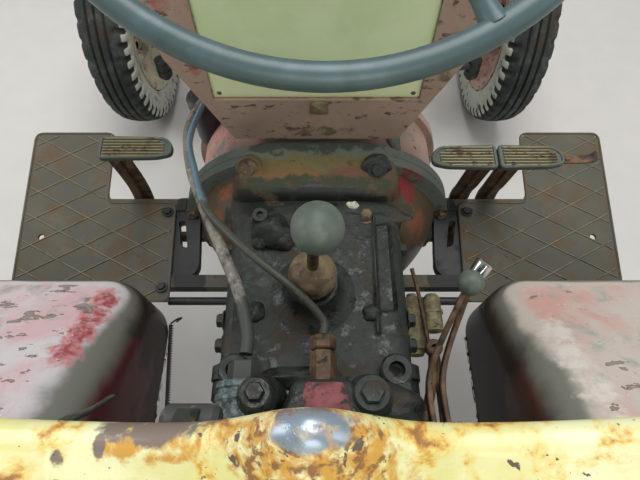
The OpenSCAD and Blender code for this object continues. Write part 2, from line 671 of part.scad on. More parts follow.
// Steering column tube behind the dash, and the shaft that runs forward to the steering gear
module steering_column() color(black) on_tractor() {
    intersection() {
        translate([column_x, wheel_y, wheel_z]) rotate([column_rake, 0, 0]) {
            translate([0, 0, -500]) cylinder(r = column_r, h = 500 - 42);
            translate([0, 0, -42.01]) cylinder(r = 12 - run, h = 30);
        }
        block([-100, wheel_y - 60, column_at(dash_y) - 80], [100, dash_y + 9, wheel_z + 40]);
    }
    intersection() {
        rod([-bolster_hw - 47, cowl_front_y - 20, bonnet_low - 14],
            [-bolster_hw - 22, bolster_y + 20, crank_z - 61], 11);
        block([-bonnet_hw, cowl_front_y, bolster_low], [0, bolster_y, bonnet_top]);
    }
}

// Footplates on their brackets, with the notches for the pedals
module plate_outline() {
    notch_x = plate_in_x + 142;
    corner = 24;
    difference() {
        polygon(concat([[plate_in_x, plate_back_y], [plate_out_x, plate_back_y]],
            arc(plate_out_x - corner, plate_front_y - corner, corner, 0, 90, 5),
            arc(notch_x + corner, plate_front_y - corner, corner, 90, 180, 5),
            arc(notch_x - 20, notch_y + 20, 20, 0, -90, 5), [[plate_in_x, notch_y - 6]]));
        translate([plate_out_x - 44, plate_back_y + 126]) circle(r = 6);
    }
}
module footplates() color("#4a463c") on_tractor() both_sides() {
    rail_x = plate_out_x - 60;
    rail_from = plate_back_y + 6;
    rail_to = plate_front_y - 30;
    inset = plate_t / 2;
    rail_h = 34;
    back = 700;
    front = 1300;
    difference() {
        translate([0, 0, -60]) linear_extrude(260) plate_outline();
        along_x(0, back) polygon([[back, plate_top(back)], [front, plate_top(front)],
            [front, 400], [back, 400]]);
        along_x(0, back) polygon([[back, plate_top(back) - plate_t],
            [front, plate_top(front) - plate_t], [front, -200], [back, -200]]);
    }
    along_x(rail_x, rail_x + 6) polygon([[rail_from, plate_top(rail_from) - inset],
        [rail_to, plate_top(rail_to) - inset], [rail_to, plate_top(rail_to) - rail_h],
        [rail_from, plate_top(rail_from) - rail_h]]);
    // Each arm's place along Y and its inner end
    for (arm = [[plate_back_y + 28, casing_hw], [flange_y + 8, bell_offset + bell_r + run]]) let (y = arm[0])
        along_x(arm[1], rail_x + 3) polygon([[y, plate_top(y) - inset],
            [y + 24, plate_top(y + 24) - inset], [y + 24, plate_top(y) - 26], [y, plate_top(y) - 26]]);
}

// Fender: a sheet bent over the tyre, closed by its inner panel, with a lip along its outer edge
function slope_way() = [sin(fender_slope), cos(fender_slope)];
function corner_z(d) = (fender_r - d - slope_way().x * (fender_front_y - d))
    / (slope_way().y - slope_way().x * fender_lean);
function front_at(d, z) = fender_front_y - d - fender_lean * z;
function fender_top(d, low, end) = concat([[front_at(d, low), low], [front_at(d, corner_z(d)), corner_z(d)]],
    arc(0, 0, fender_r - d, 90 - fender_slope, 90 + end, 14));
module fender_skin(d) polygon(concat(fender_top(d, fender_low, 60),
    [[112 - fender_r, 140], [352 - fender_r, -25], [plate_back_y - 195, -25]]));
module fender_hollow(d) polygon(concat(fender_top(d, -120, 80), [[-fender_r - 8, -120]]));
module fender() difference() {
    hull() {
        along_x(fender_in_x + fender_round, fender_out_x) fender_skin(0);
        for (a = [0:22.5:67.5]) let (x = fender_in_x + fender_round * (1 - cos(a)))
            along_x(x, x + 0.01) fender_skin(fender_round * (1 - sin(a)));
    }
    hull() {
        along_x(fender_in_x + fender_round, fender_out_x - fender_t) fender_hollow(fender_t);
        for (a = [0:22.5:67.5]) let (r = fender_round - fender_t, x = fender_in_x + fender_round - r * cos(a))
            along_x(x, x + 0.01) fender_hollow(fender_round - r * sin(a));
    }
    along_x(fender_out_x - 20, fender_out_x + over) fender_hollow(fender_t + 20);
    x_cyl(fender_in_x - over, fender_in_x + 2 * fender_t, trumpet_inner_r + 10, 0, 0);
    block([fender_in_x - over, -trumpet_inner_r - 10, -60],
        [fender_in_x + 2 * fender_t, trumpet_inner_r + 10, 0]);
}
module fender_left() color("#b9a9a6") on_tractor() on_side(-1) fender();
module fender_right() color("#b9a9a6") on_tractor() on_side(1) fender();

// A pedal: its pad, its bent arm down through the notch and its hub on the shaft
module pedal(pad, top_x, foot_x) {
    arm_y = notch_y + 24;
    along_y(pad.y - 24, pad.y + 24)
        round_rect([pad.x - pad.z, pad_top - 12], [pad.x + pad.z, pad_top], 5);
    bent_rod([[top_x, pad.y - 14, pad_top - 12], [(top_x + foot_x) / 2, pad.y + 14, pad_top - 120],
        [foot_x, arm_y, 74], [foot_x, arm_y, 14], [foot_x, pedal_shaft_y, pedal_shaft_z + 18]], 10);
    x_cyl(foot_x - 22, foot_x + 22, 24, pedal_shaft_y, pedal_shaft_z);
}
// Clutch pedal on the left, the two brake pedals with their latch strip on the right
module pedals() color("#6b6247") on_tractor() {
    shaft_hr = 12;
    side_x = bell_offset + sqrt(pow(bell_r, 2) - pow(crank_z - pedal_shaft_z - shaft_hr, 2)) + run;
    clutch_x = plate_in_x + 82;
    brake_x = [plate_in_x + 10, plate_in_x + 68];
    // A pad is its middle in X and Y and its half width
    mirror([1, 0, 0]) pedal([clutch_x - 58, notch_y - 8, 64], clutch_x - 20, clutch_x);
    pedal([brake_x[0] - 46, notch_y - 28, 56], brake_x[0] - 20, brake_x[0]);
    pedal([brake_x[1] + 11, notch_y - 28, 56], brake_x[1] - 36, brake_x[1]);
    block([brake_x[1] + 52, notch_y - 34, pad_top - 12], [brake_x[1] + 126, notch_y - 22, pad_top - 7]);
    x_cyl(side_x, brake_x[1] - 22, shaft_hr, pedal_shaft_y, pedal_shaft_z);
    mirror([1, 0, 0]) x_cyl(side_x, clutch_x - 22, shaft_hr, pedal_shaft_y, pedal_shaft_z);
}

// Brake cross shafts, the canister return springs and the rods on the gearbox's sides
module brake_linkage() color(black) on_tractor() {
    x_cyl(casing_hw, plate_in_x - 2, 8, brake_rod_y, 14);
    x_cyl(-plate_in_x - 4, -casing_hw, 8, brake_rod_y, 14);
    y_cyl(turret_y - 22, turret_y + 56, 19, casing_hw + 42, 62);
    block([casing_hw, turret_y + 6, 54], [casing_hw + 30, turret_y + 20, 70]);
}

// Gear lever: a ball in the turret, a bent stalk and its knob
module gear_lever() color(black) on_tractor() {
    ball_r = 34;
    base = [turret_x, turret_y, turret_top + 18];
    knob = base + [8, -71, 246];
    difference() {
        translate(base) sphere(r = ball_r);
        z_cyl(turret_top - 2 * ball_r, turret_top, 2 * ball_r, turret_x, turret_y);
    }
    bent_rod([base, base + [2, -12, 92], base + [6, -60, 192], knob], 7.5);
    translate(knob) sphere(r = gear_knob_r);
}

// Hand levers of the hydraulic lift on the right of its housing
module hand_levers() color(steel) on_tractor() {
    pivot_y = lift_front_y - 58;
    pivot_z = lift_top - 75;
    x_cyl(lift_hw, lift_hw + 50, 13, pivot_y, pivot_z);
    // Each lever's place on the pivot, and the way from there to its knob
    for (lever = [[16, [58, 178, 70]], [38, [60, 208, 52]]]) {
        foot = [lift_hw + lever[0], pivot_y, pivot_z];
        bent_rod([foot, foot + [4, 84, -8], foot + lever[1]], 7);
        translate(foot + lever[1]) sphere(r = 17);
    }
}

// Two hydraulic pipes from the pump on the engine's left to the lift housing
module hydraulic_pipes() color("#3a3a34") on_tractor() {
    top = lift_top - 40;
    pipe([[-184, engine_y + 34, 130], [-196, engine_y + 30, 190], [-218, engine_y - 20, 222],
        [-236, flange_y + 88, 234], [-213, flange_y - 21, top - 43], [-176, bell_y - 3, top - 21],
        [-137, bell_y - 88, top], [-104, gearbox_y + 100, top + 2], [-88, gearbox_y + 42, top],
        [-88, lift_front_y + 12, top]], 8.5);
    pipe([[-172, engine_y + 62, 130], [-178, engine_y + 60, 200], [-192, engine_y + 10, 244],
        [-220, flange_y + 48, top - 43], [-196, flange_y - 52, top - 21], [-166, bell_y - 20, top - 1],
        [-126, bell_y - 74, top + 16], [-78, turret_y + 12, top + 26], [-24, turret_y - 32, top + 20],
        [10, gearbox_y + 44, top], [10, lift_front_y + 12, top]], 5.5);
    y_cyl(lift_front_y, lift_front_y + 24, 15, -88, top);
    y_cyl(lift_front_y, lift_front_y + 42, 11, 10, top);
    block([-block_hw - 60, engine_y + 8, 40], [-block_hw, engine_y + 90, 140]);
}

// Pan seat: a pressed shell with two thigh hollows, a front hump and a raised back
function seat_point(s, u) = let (
    narrow = u > 0.75 ? 1 - 1.1 * pow(u - 0.75, 1.6) : 1,
    half = seat_w / 2 * (0.94 + 0.06 * sin(180 * min(1, u * 1.2))) * narrow,
    x = s * half,
    y = seat_front_y + 10 * (1 - s * s) * (1 - u) - u * seat_d,
    hump = 62 * exp(-pow(s / 0.24, 2)) * exp(-pow(u / 0.36, 2)),
    hollow = -14 * pow(sin(180 * min(1, u * 1.1)), 2) * (1 - pow(abs(s), 3)),
    lip = 46 * exp(-pow(u / 0.16, 2)),
    side = 60 * pow(abs(s), 4) * (0.5 + 0.8 * u),
    back = 190 * pow(max(0, (u - 0.62) / 0.38), 1.9) * (1 - 0.25 * s * s)
) [x, y + back * 0.10, seat_z + hump + lip + side + back + hollow + 14];
module seat_pan() color("#e8d87a") on_tractor()
    grid_sheet([for (i = [0:18]) [for (j = [-12:12]) seat_point(j / 12, i / 18)]], seat_t);

// Seat bracket from the lift housing to the middle of the pan
module seat_mount() color(iron) on_tractor() {
    y = seat_front_y - 0.5 * seat_d;
    pad_z = min([for (s = [0, 0.1, 0.2], u = [0.4, 0.5, 0.6]) seat_point(s, u).z]) - seat_t;
    block([-60, y - 70, lift_top], [60, y + 70, lift_top + 12]);
    block([-34, y - 26, lift_top + 10], [34, y + 26, pad_z - 8]);
    block([-46, y - 32, pad_z - 10], [46, y + 32, pad_z - run]);
}

// Front axle beam on its pivot pin, with the kingpin sleeves at its ends
module front_axle_beam() color(iron) on_tractor() difference() {
    union() {
        along_y(wheelbase - 28, wheelbase + 28) round_rect([-kingpin_x + 20, beam_z - beam_h / 2],
            [kingpin_x - 20, beam_z + beam_h / 2], 8);
        y_cyl(wheelbase - 36 + face_gap, wheelbase + 36 - face_gap, 40, 0, beam_z);
        y_cyl(wheelbase - 72, wheelbase + 72, 20, 0, beam_z);
        both_sides() z_cyl(sleeve_low, sleeve_top, 38, kingpin_x, wheelbase);
    }
    both_sides() z_cyl(sleeve_low - over, sleeve_top + over, kingpin_r + run, kingpin_x, wheelbase);
}

// Knuckle: kingpin, collar, stub axle and the steering arm with its pin hole
module knuckle() difference() {
    union() {
        z_cyl(stub_z - 30, sleeve_low - face_gap, 36, kingpin_x, wheelbase);
        z_cyl(sleeve_low - 2, sleeve_top + 20, kingpin_r, kingpin_x, wheelbase);
        z_cyl(sleeve_top + face_gap, sleeve_top + 20, 34, kingpin_x, wheelbase);
        x_cyl(kingpin_x, kingpin_x + 62, 32, wheelbase, stub_z);
        x_cyl(kingpin_x + 60, hub_x + 34, stub_r, wheelbase, stub_z);
        translate([kingpin_x, wheelbase, arm_top - arm_t]) linear_extrude(arm_t)
            polygon([[-24, 0], [24, 0], [17, -steer_arm], [-17, -steer_arm]]);
        z_cyl(arm_top - arm_t, arm_top, 24, kingpin_x, wheelbase - steer_arm);
    }
    z_cyl(arm_top - arm_t - over, arm_top + over, steer_pin_r + run, kingpin_x, wheelbase - steer_arm);
}
module knuckle_left() color(iron) on_tractor() on_side(-1) knuckle();
module knuckle_right() color(iron) on_tractor() on_side(1) knuckle();

// Drop arm under the steering gear
module drop_arm() color(iron) on_tractor() difference() {
    union() {
        z_cyl(arm_top - arm_t, arm_top + 22 - face_gap, 34, 0, drop_y);
        z_cyl(arm_top, bolster_low + 24, 18, 0, drop_y);
        translate([0, drop_y, arm_top - arm_t]) linear_extrude(arm_t)
            polygon([[-26, 0], [26, 0], [18, -steer_arm], [-18, -steer_arm]]);
        z_cyl(arm_top - arm_t, arm_top, 26, 0, drop_y - steer_arm);
    }
    z_cyl(arm_top - arm_t - over, arm_top + over, steer_pin_r + run, 0, drop_y - steer_arm);
}

// Tie bar: two rods from the drop arm's pin to the steering arms' pins
module tie_bar() color(black) on_tractor() {
    z = arm_top + face_gap;
    mid = [0, drop_y - steer_arm, z + tie_h / 2];
    arms_y = wheelbase - steer_arm;
    for (side = [-1, 1]) rod(mid, [side * kingpin_x, arms_y, z + tie_h / 2], 12);
    for (p = [[0, drop_y - steer_arm], [kingpin_x, arms_y], [-kingpin_x, arms_y]]) {
        z_cyl(z, z + tie_h, 22, p.x, p.y);
        z_cyl(arm_top - arm_t - 4, z + over, steer_pin_r, p.x, p.y);
        z_cyl(arm_top - arm_t - 14, arm_top - arm_t - face_gap, 14, p.x, p.y);
    }
}

// Steering wheel with three spokes on its hub
module steering_wheel() color("#7fa3b0") on_tractor()
    translate([column_x, wheel_y, wheel_z]) rotate([column_rake, 0, 0]) {
        rotate_extrude() translate([wheel_rim_r, 0]) circle(r = wheel_tube_r);
        difference() {
            translate([0, 0, -42 + face_gap]) cylinder(r = 27, h = 50);
            translate([0, 0, -60]) cylinder(r = 12, h = 48.5);
        }
        for (a = [60, 180, 300]) rotate([0, 0, a]) rod([20, 0, -10], [wheel_rim_r, 0, 0], 7);
    }

// Front tyre: ribbed tread over a rounded carcass
module front_tyre() {
    r = front_tyre_r;
    w = front_tyre_w / 2;
    bead = front_bead_r + face_gap;
    // One half of its section: radius and distance from the tyre's centre plane
    half = [[bead, w - 24], [bead + 22, w - 12], [bead + 62, w], [r - 46, w - 2], [r - 24, w - 8],
        [r - 9, w - 14], [r - 3, 34], [r - 3 - rib_groove, 30], [r - 3 - rib_groove, 22], [r, 18]];
    translate([hub_x, wheelbase, stub_z]) rotate([0, 90, 0]) rotate_extrude($fn = 64)
        polygon(concat(half, [for (i = [len(half) - 1:-1:0]) [half[i].x, -half[i].y]]));
}
// Front rim, stepped disc and hub, bored for the stub axle
module front_rim() translate([hub_x, wheelbase, stub_z]) rotate([0, 90, 0]) {
    b = front_bead_r;
    rotate_extrude() polygon([[b + 16, -64], [b + 16, -58], [b, -54], [b, -40], [b - 22, -26], [b - 22, 22],
        [b, 40], [b, 54], [b + 16, 58], [b + 16, 64], [b - 6, 60], [b - 6, 38], [b - 28, 20], [b - 28, -27],
        [b - 6, -42], [b - 6, -60]]);
    rotate_extrude() polygon([[48, 20], [92, 20], [112, -4], [150, -8], [b - 26, -16], [b - 26, -24],
        [150, -16], [108, -12], [88, 12], [48, 12]]);
    rotate_extrude() polygon([[stub_r + run, -68], [50, -68], [50, 44], [34, 44], [34, 62], [0, 62], [0, 36],
        [stub_r + run, 36]]);
}
module front_tyre_left() color("#2e3836") on_tractor() on_side(-1) front_tyre();
module front_tyre_right() color("#2e3836") on_tractor() on_side(1) front_tyre();
module front_rim_left() color("#c9c0a8") on_tractor() on_side(-1) front_rim();
module front_rim_right() color("#c9a8a0") on_tractor() on_side(1) front_rim();

// Rear tyre: a rounded carcass with two staggered rows of slanting lugs
// A lug's end: at x, from r down by h, turned back about the axle
module lug_end(x, r, turn, h) rotate([-turn, 0, 0])
    translate([x, 0, r]) rotate([180, 0, 0]) linear_extrude(h) square([14, lug_w], center = true);
// A lug from the tyre's middle out to its shoulder, where it has fallen and turned back
module lug(side, r, w) hull() {
    lug_end(side * 2, r, 0, lug_h + 6);
    lug_end(side * 62, r - 5, 6, lug_h + 4);
    lug_end(side * (w - 7), r - 26, 11, lug_h + 22);
}
module rear_tyre() {
    r = rear_tyre_r;
    base = r - lug_h;
    w = rear_tyre_w / 2;
    bead = rear_bead_r + 2 * face_gap;
    pitch = 360 / lug_count;
    // One half of its section: radius and distance from the tyre's centre plane
    half = [[bead, w - 30], [bead + 24, w - 20], [bead + 80, w - 3], [base - 90, w - 4],
        [base - 46, w - 12], [base - 14, w - 34], [base, 50]];
    translate([rear_x, 0, 0]) {
        rotate([0, 90, 0]) rotate_extrude()
            polygon(concat(half, [for (i = [len(half) - 1:-1:0]) [half[i].x, -half[i].y]]));
        for (i = [0:lug_count - 1], side = [-1, 1])
            rotate([180 + pitch * (i + (side > 0 ? 0.5 : 0)), 0, 0]) lug(side, r, w);
    }
}
// Rear rim, dished disc, hub and half shaft
module rear_rim() translate([rear_x, 0, 0]) rotate([0, 90, 0]) {
    in = trumpet_x - rear_x;
    b = rear_bead_r;
    rotate_extrude() polygon([[b + 20, -112], [b + 20, -106], [b, -101], [b, -88], [b - 28, -62],
        [b - 28, 40], [b, 66], [b, 101], [b + 20, 106], [b + 20, 112], [b - 7, 108], [b - 7, 64],
        [b - 35, 38], [b - 35, -63], [b - 7, -90], [b - 7, -108]]);
    rotate_extrude() polygon([[60, in + 18], [160, in + 18], [212, -86], [b - 33, -44], [b - 33, -34],
        [206, -76], [154, in + 28], [60, in + 28]]);
    rotate_extrude() polygon([[0, in - 76], [shaft_r, in - 76], [shaft_r, in + face_gap], [88, in + face_gap],
        [88, in + 24], [66, in + 24], [60, in + 62], [0, in + 66]]);
}
module rear_tyre_left() color("#2e3836") on_tractor() on_side(-1) rear_tyre();
module rear_tyre_right() color("#2e3836") on_tractor() on_side(1) rear_tyre();
module rear_rim_left() color("#c9c0a8") on_tractor() on_side(-1) rear_rim();
module rear_rim_right() color("#c9c0a8") on_tractor() on_side(1) rear_rim();

// Drawbar under the axle casing
module drawbar() color(iron) on_tractor() difference() {
    union() {
        block([-32, -520, -casing_drop - 62], [32, 60, -casing_drop - 40]);
        block([-60, -60, -casing_drop - 40], [60, 60, -casing_drop]);
        block([-46, -110, -casing_drop - 40], [46, -80, -casing_drop]);
    }
    z_cyl(-casing_drop - 70, -casing_drop - 30, drawbar_hole_r, 0, -480);
}

// Lift arms on their cross shaft
module lift_arms() color(iron) on_tractor() {
    x_cyl(-arm_x - 18, arm_x + 18, 22, -lift_pivot_back, lift_shaft_z);
    both_sides() {
        x_cyl(arm_x - 8, arm_x + 24, 34, -lift_pivot_back, lift_shaft_z);
        along_x(arm_x, arm_x + 20) polygon([[-lift_pivot_back + 4, lift_shaft_z + 33],
            [-lift_pivot_back - 4, lift_shaft_z - 33], arm_tip + [-2, -18], arm_tip + [2, 18]]);
        x_cyl(arm_x, arm_x + 20, 19, arm_tip.x, arm_tip.y);
        x_cyl(arm_x, arm_x + 54, 9, arm_tip.x, arm_tip.y);
        x_cyl(arm_x + 44 + face_gap, arm_x + 54, 15, arm_tip.x, arm_tip.y);
    }
}
// Lift rods between the arms' tips and the lower links
module lift_rods() color(iron) on_tractor() both_sides() {
    high_x = arm_x + 32;
    low_x = hole_x - 27;
    high = [high_x, arm_tip.x, arm_tip.y];
    low = [low_x, link_hole.x, link_hole.y];
    difference() {
        union() {
            rod(high, low, 8);
            rod(high + 0.3 * (low - high), high + 0.6 * (low - high), 14);
            x_cyl(high_x - 11, high_x + 11, 19, arm_tip.x, arm_tip.y);
            x_cyl(low_x - 11, low_x + 11, 19, link_hole.x, link_hole.y);
        }
        x_cyl(high_x - 40, high_x + 40, 9 + run, arm_tip.x, arm_tip.y);
        x_cyl(low_x - 40, low_x + 40, 9 + run, link_hole.x, link_hole.y);
    }
}
// Lower links, spreading rearwards, with their end eyes and the pins that take the lift rods
module lower_links() color(iron) on_tractor() both_sides()
    translate([0, -lift_pivot_back, -link_pivot_drop]) rotate([lift_rest, 0, 0]) difference() {
        union() {
            hull() for (end = [[link_x, -24], [link_x + link_spread, 20 - link_len]])
                block([end.x - 9, end.y, -20], [end.x + 9, end.y + 1, 20]);
            x_cyl(link_x - 16, link_x + 17, 25, 0, 0);
            x_cyl(link_x + link_spread - 20, link_x + link_spread + 20, link_end_r, -link_len, 0);
            x_cyl(hole_x - 48, hole_x, 9, -lift_arm, 0);
            x_cyl(hole_x - 48, hole_x - 38 - face_gap, 14, -lift_arm, 0);
        }
        x_cyl(link_x - 60, link_x + 60, 11 + run, 0, 0);
        x_cyl(link_x + link_spread - 60, link_x + link_spread + 60, link_eye_r, -link_len, 0);
    }

rear_axle_housing();
lift_housing();
gearbox();
clutch_housing();
engine_block();
cylinder_head();
exhaust();
injection_pump();
dynamo();
air_cleaner();
radiator();
fan();
front_bolster();
front_weight();
fuel_tank();
bonnet();
nose_cowl();
grille();
headlamps();
dash_cowl();
dash_panel();
steering_column();
footplates();
fender_left();
fender_right();
pedals();
brake_linkage();
gear_lever();
hand_levers();
hydraulic_pipes();
seat_pan();
seat_mount();
front_axle_beam();
drawbar();
steering_wheel();
knuckle_left();
knuckle_right();
drop_arm();
tie_bar();
front_tyre_left();
front_rim_left();
front_tyre_right();
front_rim_right();
rear_tyre_left();
rear_rim_left();
rear_tyre_right();
rear_rim_right();
lift_arms();
lift_rods();
lower_links();
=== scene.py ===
"""Vintage farm tractor seen from the driver's place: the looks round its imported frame.

Sizes and places are millimetres from the middle of the rear axle: x to the tractor's right, y
forward and z up. place() turns them into the frame's metres. Every new surface is a grid of points
or an outline carried along a path, worked out as whole arrays.
"""
import math
from typing import NamedTuple

import bmesh
import bpy
import numpy as np
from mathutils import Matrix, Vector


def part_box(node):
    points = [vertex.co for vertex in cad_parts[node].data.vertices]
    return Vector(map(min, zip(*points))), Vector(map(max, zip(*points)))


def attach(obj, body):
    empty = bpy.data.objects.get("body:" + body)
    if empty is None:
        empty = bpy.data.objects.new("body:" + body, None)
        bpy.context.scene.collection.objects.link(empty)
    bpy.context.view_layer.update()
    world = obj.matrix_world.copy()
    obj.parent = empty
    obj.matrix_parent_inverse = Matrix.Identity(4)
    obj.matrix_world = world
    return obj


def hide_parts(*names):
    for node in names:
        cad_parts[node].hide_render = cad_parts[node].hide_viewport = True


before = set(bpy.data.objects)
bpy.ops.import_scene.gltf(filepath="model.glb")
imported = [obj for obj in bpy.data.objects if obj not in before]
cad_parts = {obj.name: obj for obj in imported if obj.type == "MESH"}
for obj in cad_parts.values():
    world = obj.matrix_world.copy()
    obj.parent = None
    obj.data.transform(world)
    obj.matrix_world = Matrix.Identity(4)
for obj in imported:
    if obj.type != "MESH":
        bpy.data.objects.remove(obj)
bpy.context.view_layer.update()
AXLE = (np.array(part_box("rear_rim_left")[0]) + np.array(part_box("rear_rim_left")[1])) / 2 * [0, 1, 1]
BOTH = (-1, 1)
OPEN = (False, False)
UP, RIGHT, AHEAD = np.array((0.0, 0, 1)), np.array((1.0, 0, 0)), np.array((0, 1.0, 0))


# Shapes

def place(points):
    """Millimetres from the rear axle's centre as metres in the frame."""
    return np.asarray(points, float) / 1000 + AXLE


def unit(way):
    """Each vector divided by its own length."""
    way = np.asarray(way, float)
    return way / np.linalg.norm(way, axis=-1, keepdims=True)


def even(path, count, closed=False):
    """Points at equal steps along a line: each coordinate read off against the length so far."""
    path = np.asarray(path, float)
    if closed:
        path = np.vstack([path, path[:1]])
    run = np.append(0, np.cumsum(np.linalg.norm(np.diff(path, axis=0), axis=1)))
    at = np.linspace(0, run[-1], count + closed)[:count]
    return np.stack([np.interp(at, run, c) for c in path.T], -1)


def soften(corners, reach, closed=False, steps=5):
    """Corners rounded by parabolas: each starts and ends `reach` before and after its corner."""
    corners = np.asarray(corners, float)
    last = len(corners) - 1
    t = np.linspace(0, 1, steps)[:, None]
    line = [] if closed else [corners[:1]]
    for i in range(0 if closed else 1, last + 1 if closed else last):
        here = corners[i]
        back, fore = unit(corners[i - 1] - here), unit(corners[(i + 1) % (last + 1)] - here)
        line.append((1 - t) ** 2 * (here + reach * back) + 2 * t * (1 - t) * here
                    + t ** 2 * (here + reach * fore))
    return np.vstack(line if closed else line + [corners[-1:]])


def flowing(points, count):
    """A smooth line through points: Catmull-Rom cubics, then equal steps."""
    p = np.asarray(points, float)
    p = np.vstack([2 * p[0] - p[1], p, 2 * p[-1] - p[-2]])
    t = np.linspace(0, 1, 12, endpoint=False)[:, None, None]
    a, b, c, d = p[:-3], p[1:-2], p[2:-1], p[3:]
    spans = b + (c - a) * t / 2 + (2 * a - 5 * b + 4 * c - d) * t ** 2 / 2 \
        + (3 * b - a - 3 * c + d) * t ** 3 / 2
    return even(np.vstack([spans.transpose(1, 0, 2).reshape(-1, p.shape[1]), p[-2:-1]]), count)


def full_turn(count):
    """Equal angles once round."""
    return np.arange(count) * 2 * np.pi / count


def circle(radius, sides=16):
    """A closed ring of points: radius times cosine and sine of equal angles."""
    a = full_turn(sides)
    return radius * np.stack([np.cos(a), np.sin(a)], -1)


def bar_outline(width, height, round_by):
    """A rectangle about the origin with softened corners."""
    w, h = width / 2, height / 2
    return soften([(-w, -h), (w, -h), (w, h), (-w, h)], round_by, closed=True, steps=4)


def shell(grid, wrap=(False, True), caps=(True, True), wear=None):
    """A grid of points as a skin of quads. wrap joins last to first by rows and by columns; a cap
    closes the first or the last row with one face. wear is kept for the finish."""
    rows, columns = grid.shape[:2]
    index = np.arange(rows * columns).reshape(rows, columns)
    loop = np.vstack([index, index[:1]]) if wrap[0] else index
    loop = np.hstack([loop, loop[:, :1]]) if wrap[1] else loop
    faces = np.stack([loop[:-1, :-1], loop[:-1, 1:], loop[1:, 1:], loop[1:, :-1]],
                     -1).reshape(-1, 4)
    ends = [index[0][::-1].tolist()] * caps[0] + [index[-1].tolist()] * caps[1]
    wear = np.zeros(rows * columns) if wear is None else np.asarray(wear, float).reshape(-1)
    return grid.reshape(-1, 3), faces.tolist() + ends, wear


def sweep(path, outline, up=UP, closed=False, wear=None):
    """An outline of (across, high) carried along a path. Across is the path's way crossed with
    `up`, high is across crossed with the way. The outline may change from point to point."""
    path = np.asarray(path, float)
    way = unit(np.roll(path, -1, 0) - np.roll(path, 1, 0) if closed else np.gradient(path, axis=0))
    across = unit(np.cross(way, up))
    high = np.cross(across, way)
    outline = np.asarray(outline, float)
    outline = (outline if outline.ndim == 3
               else np.broadcast_to(outline, (len(path), *outline.shape)))
    grid = path[:, None] + outline[..., :1] * across[:, None] + outline[..., 1:] * high[:, None]
    return shell(grid, (closed, True), (not closed, not closed), wear)


def lathe(profile, centre, axis, sides=48, caps=(True, True)):
    """A profile of (radius, distance along the axis) turned round the axis."""
    profile, axis = np.asarray(profile, float), unit(axis)
    side = unit(np.cross(axis, UP if abs(axis[2]) < 0.9 else AHEAD))
    spin = circle(1, sides)
    rim = spin[:, :1] * side + spin[:, 1:] * np.cross(axis, side)
    grid = np.asarray(centre, float) + profile[:, 1, None, None] * axis + profile[:, :1, None] * rim
    return shell(grid, caps=caps)


def slab(outline, levels):
    """A flat plate: its closed outline drawn in x and y at each (height, inset) of its levels."""
    outline = np.asarray(outline, float)
    way = unit(np.roll(outline, -1, 0) - np.roll(outline, 1, 0))
    area = np.sum(outline[:, 0] * np.roll(outline[:, 1], -1)
                  - outline[:, 1] * np.roll(outline[:, 0], -1))
    inward = np.stack([-way[:, 1], way[:, 0]], -1) * np.sign(area)
    rings = [np.hstack([outline + inset * inward, np.full((len(outline), 1), height)])
             for height, inset in levels]
    return shell(np.array(rings))


def moved(shells, centre=(0, 0, 0), x=RIGHT, y=AHEAD, z=UP):
    """Shells drawn at the origin, carried to a centre with their axes along x, y and z."""
    axes = np.array([x, y, z], float)
    return [(p @ axes + np.asarray(centre, float), f, w) for p, f, w in shells]


def on_both_sides(shells):
    """The shells, then their mirror images on the tractor's other side."""
    return shells + [(p * [-1, 1, 1], f, w) for p, f, w in shells]


def ball(centre, radius, sides, rows):
    """A ball as a grid of latitudes and longitudes, its poles closed."""
    a = np.linspace(0, np.pi, rows)
    half_circle = np.stack([radius * np.sin(a), -radius * np.cos(a)], -1)
    points, faces, wear = lathe(half_circle, (0, 0, 0), UP, sides)
    return points + np.asarray(centre, float), faces, wear


def bolt(centre, axis, flats=19, tall=10, washer=True):
    """A hexagon head on its washer: two short lathe shapes on one axis."""
    corner = flats / math.sqrt(3)
    head = lathe([(0, 0), (corner, 0), (corner, tall - 2), (corner * 0.86, tall), (0, tall)],
                 centre, axis, 6)
    ring = lathe([(0, 0), (flats * 0.82, 0), (flats * 0.82, 2), (0, 2)], centre, axis, 20)
    return [head, ring] if washer else [head]


SAME_POINT = 1e-6  # metres between points that are one


def piece(name, shells, coat, body="chassis", instead_of=(), wall=0.0, face=None,
          angle=38):
    """One object from its shells: doubles merged, faces turned outwards, shaded smooth up to an
    angle. A sheet gets its wall after that, on the side away from `face`."""
    ends = np.cumsum([0] + [len(p) for p, _, _ in shells])
    faces = [[i + start for i in f] for (_, fs, _), start in zip(shells, ends) for f in fs]
    mesh = bpy.data.meshes.new(name)
    mesh.from_pydata(place(np.vstack([p for p, _, _ in shells])).tolist(), [], faces)
    wear = mesh.attributes.new("wear", "FLOAT", "POINT")
    wear.data.foreach_set("value", np.concatenate([w for _, _, w in shells]))
    work = bmesh.new()
    work.from_mesh(mesh)
    bmesh.ops.remove_doubles(work, verts=work.verts, dist=SAME_POINT)
    bmesh.ops.recalc_face_normals(work, faces=work.faces)
    if face is not None:
        total = np.sum([np.array(f.normal) * f.calc_area() for f in work.faces], axis=0)
        if total @ np.asarray(face) < 0:
            bmesh.ops.reverse_faces(work, faces=work.faces)
    work.to_mesh(mesh)
    work.free()
    mesh.shade_smooth()
    mesh.set_sharp_from_angle(angle=math.radians(angle))
    mesh.materials.append(coat)
    thing = bpy.data.objects.new(name, mesh)
    bpy.context.collection.objects.link(thing)
    if wall:
        solid = thing.modifiers.new("wall", "SOLIDIFY")
        solid.thickness, solid.offset = wall / 1000, -1
    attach(thing, body)
    if instead_of:
        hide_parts(*instead_of)
    return thing


# Finishes

